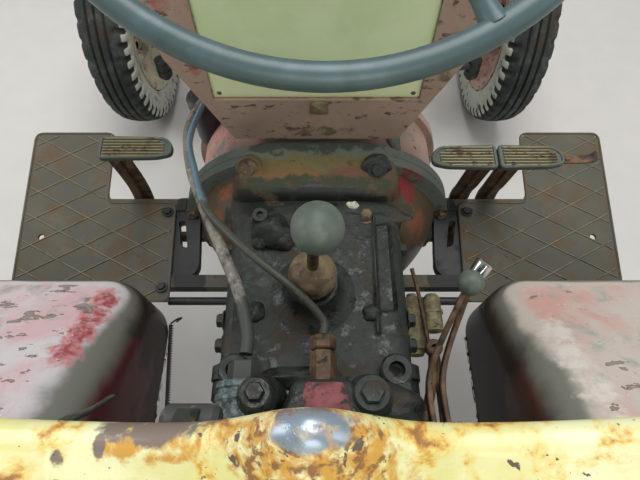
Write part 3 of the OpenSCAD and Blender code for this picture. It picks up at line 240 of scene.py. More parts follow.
def linear(code):
    """An sRGB hex colour as linear red, green, blue and full alpha."""
    c = np.array([int(code[i:i + 2], 16) for i in (1, 3, 5)]) / 255
    return (*np.where(c <= 0.04045, c / 12.92, ((c + 0.055) / 1.055) ** 2.4).tolist(), 1)


def add(tree, kind, inputs=(), **settings):
    """One shader node: its settings, then each input linked or given a plain value."""
    node = tree.nodes.new("ShaderNode" + kind)
    for name, value in settings.items():
        setattr(node, name, value)
    for key, value in dict(inputs).items():
        if isinstance(value, bpy.types.NodeSocket):
            tree.links.new(value, node.inputs[key])
        else:
            node.inputs[key].default_value = value
    return node


class Layer(NamedTuple):
    """One layer of a finish: patches of a colour where a cloud of `size` mm passes `cover`.
    relief is how far it stands proud in mm. where limits it; the same seed makes nested patches."""
    colour: str
    size: float
    cover: float
    rough: float = 0.8
    soft: float = 0.03
    metal: float = 0.0
    relief: float = 0.0
    detail: float = 6.0
    stretch: tuple = (1, 1, 1)
    where: tuple = ()
    seed: int = -1


# A spot is full inside the first share of its reach, and gone past the second.
SPOT_CORE, SPOT_EDGE = 0.4, 1.3


def limit(tree, where, at):
    """How far a layer may spread, 0 to 1. spots: near any of (centre, reach) in mm. up: faces that
    look up. level: a coordinate between two values. worn: the piece's own wear attribute."""
    kind = where[0]
    if kind == "spots":
        total = 0.0
        for centre, reach in where[1]:
            off = add(tree, "VectorMath", {0: at, 1: place(centre).tolist()},
                      operation="SUBTRACT").outputs[0]
            share = (np.asarray(reach) / 1000).tolist()
            off = add(tree, "VectorMath", {0: off, 1: share}, operation="DIVIDE").outputs[0]
            far = add(tree, "VectorMath", {0: off}, operation="LENGTH").outputs["Value"]
            near = add(tree, "MapRange", {0: far, 1: SPOT_CORE, 2: SPOT_EDGE, 3: 1.0,
                                          4: 0.0}).outputs[0]
            total = add(tree, "Math", {0: near, 1: total}, operation="MAXIMUM").outputs[0]
        return total
    if kind == "worn":
        value = add(tree, "Attribute", attribute_name="wear").outputs["Fac"]
        low, high = where[1:]
    elif kind == "up":
        normal = add(tree, "NewGeometry").outputs["Normal"]
        value = add(tree, "SeparateXYZ", {0: normal}).outputs[2]
        low, high = where[1:]
    else:
        axis, low, high = where[1:]
        value = add(tree, "SeparateXYZ", {0: at}).outputs[axis]
        low, high = low / 1000 + AXLE[axis], high / 1000 + AXLE[axis]
    return add(tree, "MapRange", {0: value, 1: low, 2: high, 3: 0.0, 4: 1.0}).outputs[0]


MILLIMETRE = 0.001  # the bump's unit, as heights are in mm
HAND_SIZE = 90  # mm, the patches that lighten and darken every finish
HOLD_BACK = 0.6  # how much of its cloud a layer loses where its limit keeps it out


def coating(name, ground, rough, layers=(), metal=0.0, grain=(2.0, 0.05), coat=0.0, mottle=0.25):
    """A finish built up in layers over its ground colour, on Object coordinates. grain is the size
    and height in mm of its even texture; mottle is how far hand-size patches lighten and darken it.
    Layers with one seed, size and stretch share a cloud, so the later ones lie inside the first."""
    material = bpy.data.materials.new(name)
    material.use_nodes = True
    tree = material.node_tree
    tree.nodes.clear()
    at = add(tree, "TexCoord").outputs["Object"]
    colour, height = linear(ground), 0.0
    shine, gleam = rough, metal
    clouds = {}
    if mottle:
        cloud = add(tree, "TexNoise", {"Vector": at, "Scale": 1000 / HAND_SIZE,
                                       "Detail": 5.0}).outputs[0]
        shade = add(tree, "MapRange", {0: cloud, 1: 0.3, 2: 0.7, 3: 1 - mottle,
                                       4: 1 + mottle}).outputs[0]
        colour = add(tree, "VectorMath", {0: colour[:3], "Scale": shade},
                     operation="SCALE").outputs[0]
    for number, layer in enumerate(layers):
        key = (layer.seed if layer.seed >= 0 else 100 + number, layer.size, layer.stretch)
        if key not in clouds:
            own_place = (1.7 * key[0] % 9.1, 2.3 * key[0] % 7.3, 0.4)
            squeeze = (1 / np.array(layer.stretch)).tolist()
            spot = add(tree, "Mapping",
                       {"Vector": at, "Location": own_place, "Scale": squeeze}).outputs[0]
            clouds[key] = add(tree, "TexNoise", {"Vector": spot, "Scale": 1000 / layer.size,
                                                 "Detail": layer.detail,
                                                 "Roughness": 0.62, "Distortion": 0.25}).outputs[0]
        mask = clouds[key]
        if layer.where:
            room = limit(tree, layer.where, at)
            room = add(tree, "Math", {0: room, 1: HOLD_BACK, 2: -HOLD_BACK},
                       operation="MULTIPLY_ADD").outputs[0]
            mask = add(tree, "Math", {0: mask, 1: room}, operation="ADD").outputs[0]
        low, high = layer.cover - layer.soft, layer.cover + layer.soft
        mask = add(tree, "MapRange", {0: mask, 1: low, 2: high, 3: 0.0, 4: 1.0},
                   interpolation_type="SMOOTHSTEP").outputs[0]
        colour = add(tree, "Mix", {0: mask, 6: colour, 7: linear(layer.colour)},
                     data_type="RGBA").outputs[2]
        shine = add(tree, "Mix", {0: mask, 2: shine, 3: layer.rough}).outputs[0]
        if layer.metal or metal:
            gleam = add(tree, "Mix", {0: mask, 2: gleam, 3: layer.metal}).outputs[0]
        if layer.relief:
            height = add(tree, "Math", {0: mask, 1: layer.relief, 2: height},
                         operation="MULTIPLY_ADD").outputs[0]
    fine = add(tree, "TexNoise", {"Vector": at, "Scale": 1000 / grain[0], "Detail": 3.0}).outputs[0]
    height = add(tree, "Math", {0: fine, 1: grain[1], 2: height},
                 operation="MULTIPLY_ADD").outputs[0]
    bump = add(tree, "Bump", {"Height": height, "Distance": MILLIMETRE, "Strength": 1.0}).outputs[0]
    paint = add(tree, "BsdfPrincipled", {"Base Color": colour, "Roughness": shine,
                                         "Metallic": gleam, "Normal": bump, "Coat Weight": coat})
    add(tree, "OutputMaterial", {"Surface": paint.outputs[0]})
    return material


def near(*places):
    """A layer's limit: close to any of these ((x, y, z), (reach in x, y, z)) places, in mm."""
    return ("spots", places)


# Cast iron under years of oil: near black and half matt, with blue-grey dust on its left where it
# looks up, pits and lumps, pale specks and the last of the red enamel in flakes.
GREASY_IRON = coating("greasy_cast_iron", "#272c27", 0.62, [
    Layer("#3a342a", 60, 0.58, 0.8), Layer("#1b1f1c", 26, 0.55, 0.35, 0.06, relief=0.35),
    Layer("#46514f", 10, 0.55, 0.85, 0.12, relief=0.3, where=near(
        ((-100, 800, 240), (60, 130, 50)), ((-90, 600, 320), (70, 40, 70)))),
    Layer("#363d39", 12, 0.62, 0.9, 0.1, relief=0.3, where=("up", 0.2, 0.9)),
    Layer("#6a2a2c", 38, 0.69, 0.6, 0.02, relief=0.12),
    Layer("#a3a89d", 4, 0.76, 0.9, 0.02, relief=0.2, where=("up", 0.2, 0.9))],
    grain=(6.0, 1.3), mottle=0.3)
# The bell's iron: brown rust under dust, red enamel left on its shoulders, an olive band across its
# top and near black patches where it meets the gearbox, behind the saddle and low on its sides.
BELL_IRON = coating("rusted_bell_iron", "#54442f", 0.65, [
    Layer("#7a4a34", 40, 0.45, 0.6, 0.1, where=near(
        ((186, 950, 150), (60, 60, 90)), ((-190, 950, 130), (50, 60, 90)))),
    Layer("#5f685f", 40, 0.34, 0.8, 0.06, where=("level", 1, 1006, 1013)),
    Layer("#68623e", 16, 0.38, 0.85, 0.14, where=near(((0, 1004, 250), (230, 34, 40)))),
    Layer("#755b36", 13, 0.42, 0.7, 0.16, where=near(((-60, 984, 250), (120, 30, 30)))),
    Layer("#724436", 14, 0.42, 0.6, 0.14, where=near(((62, 986, 250), (74, 18, 30)))),
    Layer("#7c2d2d", 20, 0.4, 0.45, 0.09, where=near(((170, 985, 205), (66, 50, 60)))),
    Layer("#854a30", 14, 0.4, 0.6, 0.12, where=near(((-176, 985, 200), (44, 34, 50)))),
    Layer("#3c4339", 26, 0.36, 0.7, 0.05, relief=0.1, where=near(
        ((-20, 1052, 250), (230, 42, 30)))),
    Layer("#3f4334", 20, 0.42, 0.9, 0.1, where=near(
        ((0, 958, 245), (240, 34, 60)), ((170, 960, 190), (60, 30, 60)))),
    Layer("#5d3a28", 16, 0.66, 0.9, 0.05, relief=-0.1),
    Layer("#222520", 44, 0.4, 0.4, 0.07, relief=0.4, where=near(
        ((0, 925, 225), (230, 62, 80)), ((-120, 935, 205), (100, 60, 80)),
        ((110, 925, 215), (110, 50, 70)), ((196, 915, 60), (50, 40, 90)),
        ((-196, 915, 60), (50, 40, 90)))),
    Layer("#b9bdb4", 4, 0.73, 0.9, 0.02, relief=0.2, where=("up", 0.2, 0.9))],
    grain=(4.0, 0.6), mottle=0.15)
# The straight part behind the engine: salmon pink where the sun took the red, dusty grey in clouds.
FLANGE_ENAMEL = coating("chalked_flange_enamel", "#a5877a", 0.55, [
    Layer("#cf9a92", 90, 0.36, 0.6, 0.1, where=near(((-190, 1120, 150), (110, 110, 190)))),
    Layer("#8a8a80", 40, 0.56, 0.75, 0.09), Layer("#4c4a40", 20, 0.66, 0.8, 0.05, relief=-0.1)],
    grain=(2.6, 0.15))
# Engine enamel under an oil film: dark grey-green and half glossy, with dust where it looks up.
ENGINE_ENAMEL = coating("oily_engine_enamel", "#3f4a42", 0.5, [
    Layer("#33302a", 55, 0.56, 0.4, 0.06), Layer("#6d5238", 18, 0.64, 0.9, 0.05, relief=-0.08),
    Layer("#83857a", 30, 0.6, 0.95, 0.08, where=("up", 0.3, 0.9))], grain=(2.5, 0.25))
# Exhaust steel burnt to even rust: matt orange-brown with dark scale.
RUSTY_STEEL = coating("rusted_exhaust_steel", "#6a4634", 0.9, [
    Layer("#8f5a34", 22, 0.54, 0.95, 0.06, relief=0.12), Layer("#33261f", 34, 0.6, 0.85, 0.05),
    Layer("#a9774c", 9, 0.66, 0.95, 0.03)], grain=(1.8, 0.2))
# Cast aluminium gone dull: soft grey shine broken by oily dirt.
DULL_ALLOY = coating("cast_aluminium", "#8a8b80", 0.5, [
    Layer("#3a382f", 26, 0.58, 0.45, 0.07), Layer("#a8a494", 16, 0.62, 0.9, 0.06)],
    metal=0.7, grain=(1.6, 0.15))
# Black enamel: a low gloss under a grey dust, rust at its chips.
BLACK_ENAMEL = coating("worn_black_enamel", "#1d1f1f", 0.45, [
    Layer("#3a3c39", 24, 0.6, 0.85, 0.08), Layer("#4a3020", 14, 0.67, 0.9, 0.03, relief=-0.06)],
    grain=(2.5, 0.08))
# Red tractor enamel, chalked by the sun: paler on what looks up, chipped to brown iron at places.
RED_ENAMEL = coating("faded_red_enamel", "#96343a", 0.45, [
    Layer("#b4706e", 120, 0.5, 0.7, 0.12, where=("up", -0.2, 0.9)),
    Layer("#7a2429", 70, 0.58, 0.5, 0.08),
    Layer("#5c4034", 30, 0.645, 0.85, 0.012, relief=-0.12, seed=7),
    Layer("#3b2a24", 30, 0.68, 0.9, 0.01, seed=7),
    Layer("#c9b8ae", 9, 0.7, 0.9, 0.03, where=("up", 0.2, 0.9))], coat=0.15, grain=(3.0, 0.04))
# Iron under caked dust: pale blue-grey, dry and lumpy.
DUSTY_CRUST = coating("dust_caked_iron", "#4c5858", 0.9, [
    Layer("#71807f", 7, 0.52, 0.95, 0.08, relief=0.5), Layer("#2c302c", 12, 0.58, 0.7, 0.06)],
    grain=(4.0, 1.2))
# Old red enamel worn dark: dull, with iron and dust showing through.
WORN_RED = coating("worn_dark_red_enamel", "#6e3236", 0.6, [
    Layer("#8a474b", 16, 0.5, 0.6, 0.1), Layer("#38342f", 11, 0.55, 0.8, 0.05, relief=-0.1),
    Layer("#5c6460", 8, 0.66, 0.9, 0.05)], grain=(3.0, 0.3))
# Ivory enamel: warm and half glossy, dirt in cloudy patches.
PALE_ENAMEL = coating("ivory_grille_enamel", "#c6c0ae", 0.45, [
    Layer("#8f8672", 30, 0.58, 0.8, 0.08), Layer("#7a4a30", 10, 0.66, 0.9, 0.03, relief=-0.05)],
    grain=(2.5, 0.05))
# The dash frame: dusty pink-brown primer, red left on its sides, an olive foot and dark scratches.
DASH_FRAME = coating("worn_dash_enamel", "#9f8b79", 0.6, [
    Layer("#a35a50", 70, 0.5, 0.5, 0.07, where=near(
        ((-200, 1090, 520), (50, 60, 110)), ((200, 1090, 520), (50, 60, 110)),
        ((-180, 1090, 390), (30, 60, 60)))),
    Layer("#6b6348", 34, 0.5, 0.8, 0.08, where=near(
        ((0, 1072, 262), (190, 40, 26)), ((-196, 1072, 560), (26, 40, 120)),
        ((196, 1072, 420), (26, 40, 120)))),
    Layer("#a08a7a", 26, 0.6, 0.8, 0.06),
    Layer("#5e483c", 13, 0.6, 0.7, 0.04, relief=-0.08, stretch=(2.2, 1, 1)),
    Layer("#33261f", 5, 0.7, 0.8, 0.02, relief=-0.08)], grain=(2.2, 0.12), mottle=0.15)
# Pale green panel enamel: smooth and nearly even, creamier towards its foot, with a few rust specks
# and a brown line along its edges.
DASH_GREEN = coating("pale_green_enamel", "#cbdfac", 0.42, [
    Layer("#d3e5b6", 120, 0.5, 0.45, 0.1),
    Layer("#dce5b4", 200, 0.2, 0.5, 0.1, where=("level", 2, 410, 355)),
    Layer("#6f6a2c", 6, 0.735, 0.9, 0.015, relief=-0.05, detail=3),
    Layer("#7a6238", 12, 0.52, 0.9, 0.05, where=("worn", 0.3, 1.0))], mottle=0.04)
# Pressed footplate steel: trodden olive-brown, browner at the rear, with faint bright ridge tops.
FOOT_STEEL = coating("trodden_footplate_steel", "#565143", 0.62, [
    Layer("#4b4b40", 90, 0.52, 0.55, 0.09), Layer("#5d4f3c", 44, 0.56, 0.85, 0.08, relief=0.1),
    Layer("#5d533f", 9, 0.66, 0.9, 0.05),
    Layer("#716a54", 30, 0.42, 0.5, 0.14, where=("worn", 0.1, 0.9)),
    Layer("#5c4030", 16, 0.68, 0.9, 0.03),
    Layer("#1d1f1c", 60, 0.1, 0.6, 0.05, where=near(
        ((-250, 880, 10), (36, 40, 60)), ((250, 880, 10), (36, 40, 60)),
        ((-262, 1030, 60), (26, 34, 50)), ((262, 1030, 60), (26, 34, 50))))], grain=(2.2, 0.22))
# Pedal iron: brown, rubbed to dull olive-gold on the ridge tops and dark between them.
PEDAL_IRON = coating("trodden_pedal_iron", "#575039", 0.55, [
    Layer("#787050", 26, 0.34, 0.4, 0.1, 0.25, where=("worn", 0.4, 0.9)),
    Layer("#241f19", 16, 0.62, 0.8, 0.05), Layer("#5a4030", 34, 0.6, 0.8, 0.06),
    Layer("#4f574f", 40, 0.4, 0.5, 0.1, 0.2, where=("worn", 0.3, 0.02))], grain=(1.6, 0.12))
# Handled iron under brown rust: dark, with a faint shine.
LEVER_IRON = coating("brown_lever_iron", "#4b3a2c", 0.6, [
    Layer("#6b5238", 24, 0.54, 0.7, 0.08), Layer("#211c18", 18, 0.6, 0.75, 0.05)],
    metal=0.3, grain=(1.6, 0.12))
# Bare steel gone dull: a soft metal shine with brown spots.
BRIGHT_STEEL = coating("dull_bright_steel", "#85877f", 0.4, [
    Layer("#4a4438", 18, 0.58, 0.7, 0.06), Layer("#6d4c34", 9, 0.66, 0.9, 0.03)],
    metal=0.85, grain=(1.4, 0.06))
# Chrome plate: a clear mirror with a few dirt spots.
CHROME = coating("chrome_plate", "#c9ccca", 0.12, [
    Layer("#6d6a5e", 8, 0.66, 0.5, 0.04)], metal=1.0, mottle=0.0, grain=(2.0, 0.01))
# Steel pipe under dust: grey-brown and matt, darker and oilier towards the rear.
PIPE_DUSTY = coating("dusty_steel_pipe", "#7c776c", 0.6, [
    Layer("#98948a", 9, 0.56, 0.95, 0.06), Layer("#4a4538", 24, 0.58, 0.6, 0.06),
    Layer("#3b3f3a", 30, 0.36, 0.6, 0.08, where=("level", 1, 800, 720)),
    Layer("#5f4636", 12, 0.66, 0.9, 0.04)], metal=0.2, grain=(1.5, 0.15))
# Steel pipe: its pale blue ground is a painted reflection of cool light, a clean shine that gives
# way to the pipe's own oily dark steel towards the rear.
PIPE_BLUE_SHEEN = coating("steel_pipe_with_painted_sheen", "#86a6b8", 0.26, [
    Layer("#3b3d35", 60, 0.2, 0.5, 0.08, where=("level", 1, 930, 820)),
    Layer("#57503f", 12, 0.62, 0.8, 0.05)], metal=0.7, mottle=0.1, grain=(1.5, 0.05))
# The pan seat: cream-yellow enamel, yellow and orange where it thins round crisp brown islands,
# bare brown iron on the crest, and a half-metal blue-grey painted reflection of pale sky on the
# hump and at its left front.
SEAT_ENAMEL_AND_SHEEN = coating("worn_seat_enamel_and_painted_sheen", "#dcd896", 0.36, [
    Layer("#e4e4b4", 70, 0.5, 0.4, 0.08), Layer("#dfc468", 34, 0.575, 0.5, 0.07, seed=3, detail=8),
    Layer("#c28b3e", 34, 0.625, 0.55, 0.04, seed=3, detail=9),
    Layer("#94683a", 34, 0.665, 0.7, 0.025, seed=3, detail=9),
    Layer("#c9963f", 13, 0.44, 0.6, 0.12, detail=9, where=near(
        ((0, 510, 596), (140, 50, 60)), ((30, 480, 570), (110, 60, 50)),
        ((-110, 520, 556), (60, 20, 30)))),
    Layer("#8a6038", 9, 0.53, 0.7, 0.06, detail=8, where=near(((0, 500, 590), (160, 70, 60)))),
    Layer("#5f534a", 17, 0.655, 0.7, 0.008, relief=-0.25, detail=4, seed=11),
    Layer("#77695e", 30, 0.4, 0.6, 0.06, relief=-0.2, where=near(
        ((-104, 536, 554), (80, 24, 30)), ((-6, 540, 618), (120, 22, 30)),
        ((-168, 512, 556), (8, 16, 16)), ((-143, 522, 554), (7, 14, 14)))),
    # Painted reflection: the pale sky's blue-grey sheen on the hump and at the left front.
    Layer("#93a1af", 12, 0.4, 0.3, 0.12, 0.5, detail=8, where=near(
        ((4, 524, 614), (64, 22, 30)), ((-146, 468, 545), (74, 22, 24)))),
    Layer("#5a4a3c", 4, 0.7, 0.8, 0.015, relief=-0.2)], coat=0.2, mottle=0.05, grain=(4.0, 0.04))


def fender_coat(name, top, tint, inside, patch, shoulder, islands):
    """A fender's enamel: sun-bleached grey-pink above with brown islands in dark outlines, a bare
    grey band round the shoulder and dark inner sides, oily brown deepened by painted shade. It takes
    the top's colour and tint, the shaded inside's colour with one patch, the layers along the
    shoulder, and the cover of the islands."""
    sunny, rim = ("up", 0.5, 0.82), ("up", 0.1, 0.7)
    blotches = dict(stretch=(2.4, 1.0, 1), detail=4, seed=4, where=("up", 0.66, 0.8))
    return coating(name, inside, 0.55, [
        Layer("#241f1b", 100, 0.5, 0.5, 0.12), patch,
        Layer("#73746b", 200, 0.22, 0.5, 0.2, where=rim),
        Layer(top, 200, 0.22, 0.5, 0.13, where=sunny),
        Layer(tint, 110, 0.53, 0.5, 0.12, where=sunny),
        Layer("#9a9c94", 46, 0.6, 0.6, 0.1, where=sunny), *shoulder,
        Layer("#5d544c", 22, islands, 0.8, 0.012, **blotches),
        Layer("#8b8178", 22, islands + 0.02, 0.75, 0.012, relief=-0.15, **blotches),
        Layer("#4a3f3a", 4, 0.69, 0.8, 0.015, relief=-0.1, where=("up", 0.5, 0.8)),
        Layer("#dcdcd8", 6, 0.68, 0.6, 0.02, relief=0.08, where=("up", 0.35, 0.78))],
        coat=0.15, mottle=0.1, grain=(3.0, 0.05))


def on_shoulder(x, stations, reach):
    """Spots along a fender's shoulder, whose height is 750 mm less 0.708 of the way forward."""
    return near(*[((x, y, 750 - 0.708 * y), reach) for y in stations])


# Red left beside the left shoulder's bare band; along the right shoulder a pale band is a painted
# highlight.
SHOULDER_RED = on_shoulder(-333, (776, 740, 705, 672), (32, 44, 40))
SHOULDER_HIGHLIGHT = on_shoulder(338, (705, 660, 610, 560), (34, 50, 44))
# Each fender's dark inner-side colour is oily brown enamel deepened by painted shade.
LEFT_FENDER = fender_coat(
    "bleached_fender_enamel_left", "#c6c0c2", "#c7a6a8", "#40302a",
    Layer("#5a2424", 60, 0.36, 0.4, 0.1, where=near(((-280, 640, 200), (30, 120, 200)))),
    [Layer("#b97c7e", 12, 0.36, 0.5, 0.16, detail=8, where=SHOULDER_RED),
     Layer("#97444a", 10, 0.5, 0.45, 0.1, detail=8, where=SHOULDER_RED)], islands=0.585)
RIGHT_FENDER = fender_coat(
    "bleached_fender_enamel_right", "#bdb3aa", "#c0978c", "#3a2d22",
    Layer("#4c3126", 90, 0.36, 0.45, 0.1, where=near(((280, 600, 260), (30, 120, 140)))),
    [Layer("#cdc7be", 13, 0.42, 0.5, 0.2, detail=8, where=SHOULDER_HIGHLIGHT)], islands=0.66)
# Steering wheel: smooth moulded plastic, grey-blue, polished by hands on top.
WHEEL_PLASTIC = coating("moulded_wheel_plastic", "#44585a", 0.4, [
    Layer("#4e6467", 50, 0.55, 0.34, 0.1), Layer("#3c4a4a", 26, 0.64, 0.5, 0.06)],
    mottle=0.12, grain=(2.5, 0.03))
# Moulded knob plastic: grey-green, rubbed and half matt.
KNOB_PLASTIC = coating("grey_knob_plastic", "#525c53", 0.5, [
    Layer("#626d60", 22, 0.56, 0.6, 0.1), Layer("#3e463f", 9, 0.68, 0.7, 0.05)],
    mottle=0.1, grain=(2.0, 0.03))
# Cast iron under dry brown dust: matt, with pale specks.
DUSTY_IRON = coating("dusty_brown_iron", "#625440", 0.75, [
    Layer("#7a6a50", 16, 0.52, 0.95, 0.07), Layer("#37291f", 22, 0.6, 0.6, 0.06),
    Layer("#a99a7c", 4, 0.68, 0.95, 0.04)], grain=(2.0, 0.3))
# Tyre rubber: carbon black gone grey-green, dust in its hollows and chalk on its sidewalls.
TYRE_RUBBER = coating("weathered_tyre_rubber", "#262d2b", 0.8, [
    Layer("#454c45", 40, 0.54, 0.9, 0.09), Layer("#3a352c", 70, 0.58, 0.95, 0.08),
    Layer("#c3c6b8", 34, 0.36, 0.95, 0.1, where=("worn", 0.2, 0.9)),
    Layer("#6f6c5c", 10, 0.68, 0.95, 0.04)], grain=(2.0, 0.15))
# Cream rim enamel: chalky, with rust in its chips.
RIM_CREAM = coating("cream_rim_enamel", "#c4bba2", 0.5, [
    Layer("#a09a86", 50, 0.55, 0.7, 0.09),
    Layer("#94684a", 22, 0.61, 0.85, 0.03, relief=-0.06, seed=2),
    Layer("#5c3d2b", 22, 0.65, 0.9, 0.02, seed=2)], grain=(2.5, 0.06))
# The right front rim's enamel: the same, bleached pink.
RIM_PINK = coating("pink_rim_enamel", "#bb9a90", 0.55, [
    Layer("#a8857a", 50, 0.55, 0.7, 0.09),
    Layer("#85513c", 22, 0.6, 0.85, 0.03, relief=-0.06, seed=2),
    Layer("#5c3d2b", 22, 0.65, 0.9, 0.02, seed=2)], grain=(2.5, 0.06))
# Moulded rubber: black and matt with grey bloom.
RUBBER_HOSE = coating("black_rubber_hose", "#1d1f1f", 0.65, [
    Layer("#3c3d38", 18, 0.57, 0.9, 0.07)], grain=(1.5, 0.06))
# Olive enamel on pressed cans: dusty and matt.
OLIVE_CAN = coating("olive_can_enamel", "#6b6448", 0.6, [
    Layer("#8c8462", 20, 0.54, 0.85, 0.08), Layer("#3a3324", 16, 0.62, 0.7, 0.05)],
    grain=(2.0, 0.08))
# Lime crust: white, dry and grainy.
WHITE_CRUST = coating("lime_crust", "#c9c8bc", 0.95, [
    Layer("#8f8c7e", 6, 0.56, 0.95, 0.06)], grain=(2.0, 0.9))
# The lamps' pressed lenses, drawn as a pale glossy skin with dust.
LAMP_GLASS = coating("lamp_lens_glass", "#d9dcd6", 0.12, [
    Layer("#a8a596", 30, 0.58, 0.6, 0.1)], mottle=0.0, coat=0.6, grain=(9.0, 0.25))

FINISHES = {
    GREASY_IRON: ["rear_axle_housing", "lift_housing", "gearbox", "front_bolster", "front_weight",
                  "seat_mount", "front_axle_beam", "drawbar", "knuckle_left", "knuckle_right",
                  "drop_arm", "lift_arms", "lift_rods", "lower_links"],
    ENGINE_ENAMEL: ["engine_block", "cylinder_head"],
    RUSTY_STEEL: ["exhaust"],
    DULL_ALLOY: ["injection_pump"],
    BLACK_ENAMEL: ["dynamo", "air_cleaner", "radiator", "fuel_tank", "headlamps",
                   "steering_column", "brake_linkage", "tie_bar"],
    RED_ENAMEL: ["fan", "bonnet", "nose_cowl"],
    PALE_ENAMEL: ["grille"],
    DASH_FRAME: ["dash_cowl"],
    FOOT_STEEL: ["footplates"],
    RIM_CREAM: ["front_rim_left", "rear_rim_left", "rear_rim_right"],
    RIM_PINK: ["front_rim_right"],
}
for finish, names in FINISHES.items():
    for name in names:
        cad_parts[name].data.materials.clear()
        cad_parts[name].data.materials.append(finish)


# Seat

SEAT_HALF, SEAT_DEEP, SEAT_FRONT, SEAT_HIGH = 235, 410, 538, 506
LIP_ROLL = 13


def seat_surface(s, u):
    """The pan at s across (-1 to 1) and u back from the lip (0 to 1): two thigh hollows, a hump
    between them, sides that rise with the fourth power of s, and a back that curves up."""
    half = SEAT_HALF * (0.94 + 0.06 * np.sin(np.pi * np.minimum(1, 1.2 * u)))
    half = half * np.where(u > 0.75, 1 - 1.1 * np.maximum(u - 0.75, 0) ** 1.6, 1)
    back = 190 * (np.maximum(0, u - 0.62) / 0.38) ** 1.9 * (1 - 0.25 * s ** 2)
    y = SEAT_FRONT - SEAT_DEEP * u + 0.1 * back
    z = SEAT_HIGH + 62 * np.exp(-(s / 0.24) ** 2 - (u / 0.36) ** 2) + 46 * np.exp(-(u / 0.16) ** 2)
    z = z + 60 * s ** 4 * (0.5 + 0.8 * u) + back
    z = z - 14 * np.sin(np.pi * np.minimum(1, 1.1 * u)) ** 2 * (1 - np.abs(s) ** 3)
    return np.stack(np.broadcast_arrays(s * half, y, z), -1)


def make_seat():
    """The pressed pan with its front edge rolled down, and a wire bead round its sides and back."""
    s = np.linspace(-1, 1, 121)[None]
    turn = np.linspace(math.radians(165), 0, 12, endpoint=False)[:, None]
    lip = seat_surface(s, np.zeros((1, 1))) + np.stack(np.broadcast_arrays(
        0 * s, LIP_ROLL * np.sin(turn) - LIP_ROLL, LIP_ROLL * np.cos(turn) - LIP_ROLL), -1)
    u = np.linspace(0, 1, 90)[:, None]
    pan = seat_surface(s, u)
    pan[..., 1] -= LIP_ROLL * np.exp(-(u / 0.05) ** 2)
    dents = 1.2 * np.sin(s * 9 + 2) * np.sin(u * 13) + 0.7 * np.sin(s * 23) * np.sin(u * 31 + 1)
    pan[..., 2] += dents * np.minimum(1, 8 * u)
    edge = np.concatenate([pan[::3, 0], pan[-1, ::4], pan[::-3, -1]])
    bead = sweep(even(edge, 150), circle(4.5, 8))
    piece("seat_pan_shell", [shell(np.concatenate([lip, pan]), OPEN, OPEN)], SEAT_ENAMEL_AND_SHEEN,
          instead_of=["seat_pan"], wall=4, face=UP)
    piece("seat_edge_bead", [bead], SEAT_ENAMEL_AND_SHEEN)
    centre = seat_surface(np.array([0.0]), np.array([0.5]))[0]
    studs = [bolt(centre + (x, y, 3), UP, 17, 6) for x in (-26, 26) for y in (-18, 18)]
    piece("seat_bolts", sum(studs, []), GREASY_IRON)
    clip = sweep(flowing([(-190, 512, 552), (-186, 538, 530), (-178, 552, 508),
                          (-166, 565, 497)], 24), bar_outline(15, 3, 1), up=AHEAD)
    strap = sweep(flowing([(-104, 512, 528), (-104, 536, 506), (-104, 556, 486)], 16),
                  bar_outline(20, 4, 1), up=AHEAD)
    piece("seat_clips", [clip, strap], GREASY_IRON)
    piece("seat_buffer", [lathe([(0, -25), (10, -25), (15, -20), (15, 20), (11, 25), (0, 25)],
                                (-104, 549, 472), RIGHT, 28)],
          PIPE_DUSTY)


# Fenders

FENDER_R, FENDER_IN, FENDER_OUT = 612, 280, 782
EDGE_ROUND, LIP_ROUND, ARCH_R = 72, 6, 102
FOOT_Z, LOW_Z = 28.3, -25


def fender_line(depth):
    """The fender's side view at a depth under its skin, from its front foot up and back: a leaning
    front, a soft corner, the straight slope and the arc over the tyre. The corner is where the
    front and the slope, both moved in by the depth, cross."""
    start, corner, end = np.array([(837.9, FOOT_Z), (826, 165), (362.3, 493.2)])
    ways = unit([corner - start, end - corner])
    inward = np.stack([-ways[:, 1], ways[:, 0]], -1)
    corner = np.linalg.solve(inward, inward @ corner + depth)
    a = np.radians(np.linspace(53.7, 150, 60))
    front = soften([start - (depth / -inward[0, 0], 0), corner, end * (1 - depth / FENDER_R)], 22,
                   steps=12)
    return even(np.vstack([front, (FENDER_R - depth) * np.stack([np.cos(a), np.sin(a)], -1)[1:]]),
                150)


def fender_rows():
    """Each row goes across the fender at one point of its line: the outer lip, the flat top, the
    round inner edge (a quarter circle) and down the inner panel to its lower edge."""
    quarter = np.linspace(0, np.pi / 2, 11)
    few = quarter[::3]
    lip = np.stack([FENDER_OUT - LIP_ROUND + LIP_ROUND * np.cos(few),
                    LIP_ROUND - LIP_ROUND * np.sin(few)], -1)
    flat = np.stack([np.linspace(FENDER_OUT - 18, FENDER_IN + EDGE_ROUND + 8, 22), np.zeros(22)],
                    -1)
    edge = np.stack([FENDER_IN + EDGE_ROUND - EDGE_ROUND * np.sin(quarter),
                     EDGE_ROUND - EDGE_ROUND * np.cos(quarter)], -1)
    across = np.concatenate([[(FENDER_OUT, 20), (FENDER_OUT, 12)], lip, flat, edge])
    top = np.stack([fender_line(depth) for depth in across[:, 1]], 1)
    half_turn = np.linspace(0, np.pi, 24)
    arch = ARCH_R * np.stack([np.cos(half_turn), np.sin(half_turn)], -1)
    foot = np.vstack([[(765.6, FOOT_Z), (643, LOW_Z), (ARCH_R, LOW_Z)], arch,
                      [(-ARCH_R, LOW_Z), (-260, LOW_Z), (-500, 140), (-491, 283)]])
    fall = np.linspace(0, 1, 14)[1:, None]
    panel = top[:, -1:] * (1 - fall) + even(foot, len(top))[:, None] * fall
    x = np.concatenate([across[:, 0], np.full(len(fall), FENDER_IN)])
    grid = np.concatenate([top, panel], 1)
    grid[..., 1] = np.where(grid[..., 0] > 600, np.maximum(grid[..., 1], FOOT_Z), grid[..., 1])
    return np.concatenate([np.broadcast_to(x[None, :, None], (*grid.shape[:2], 1)), grid], -1)


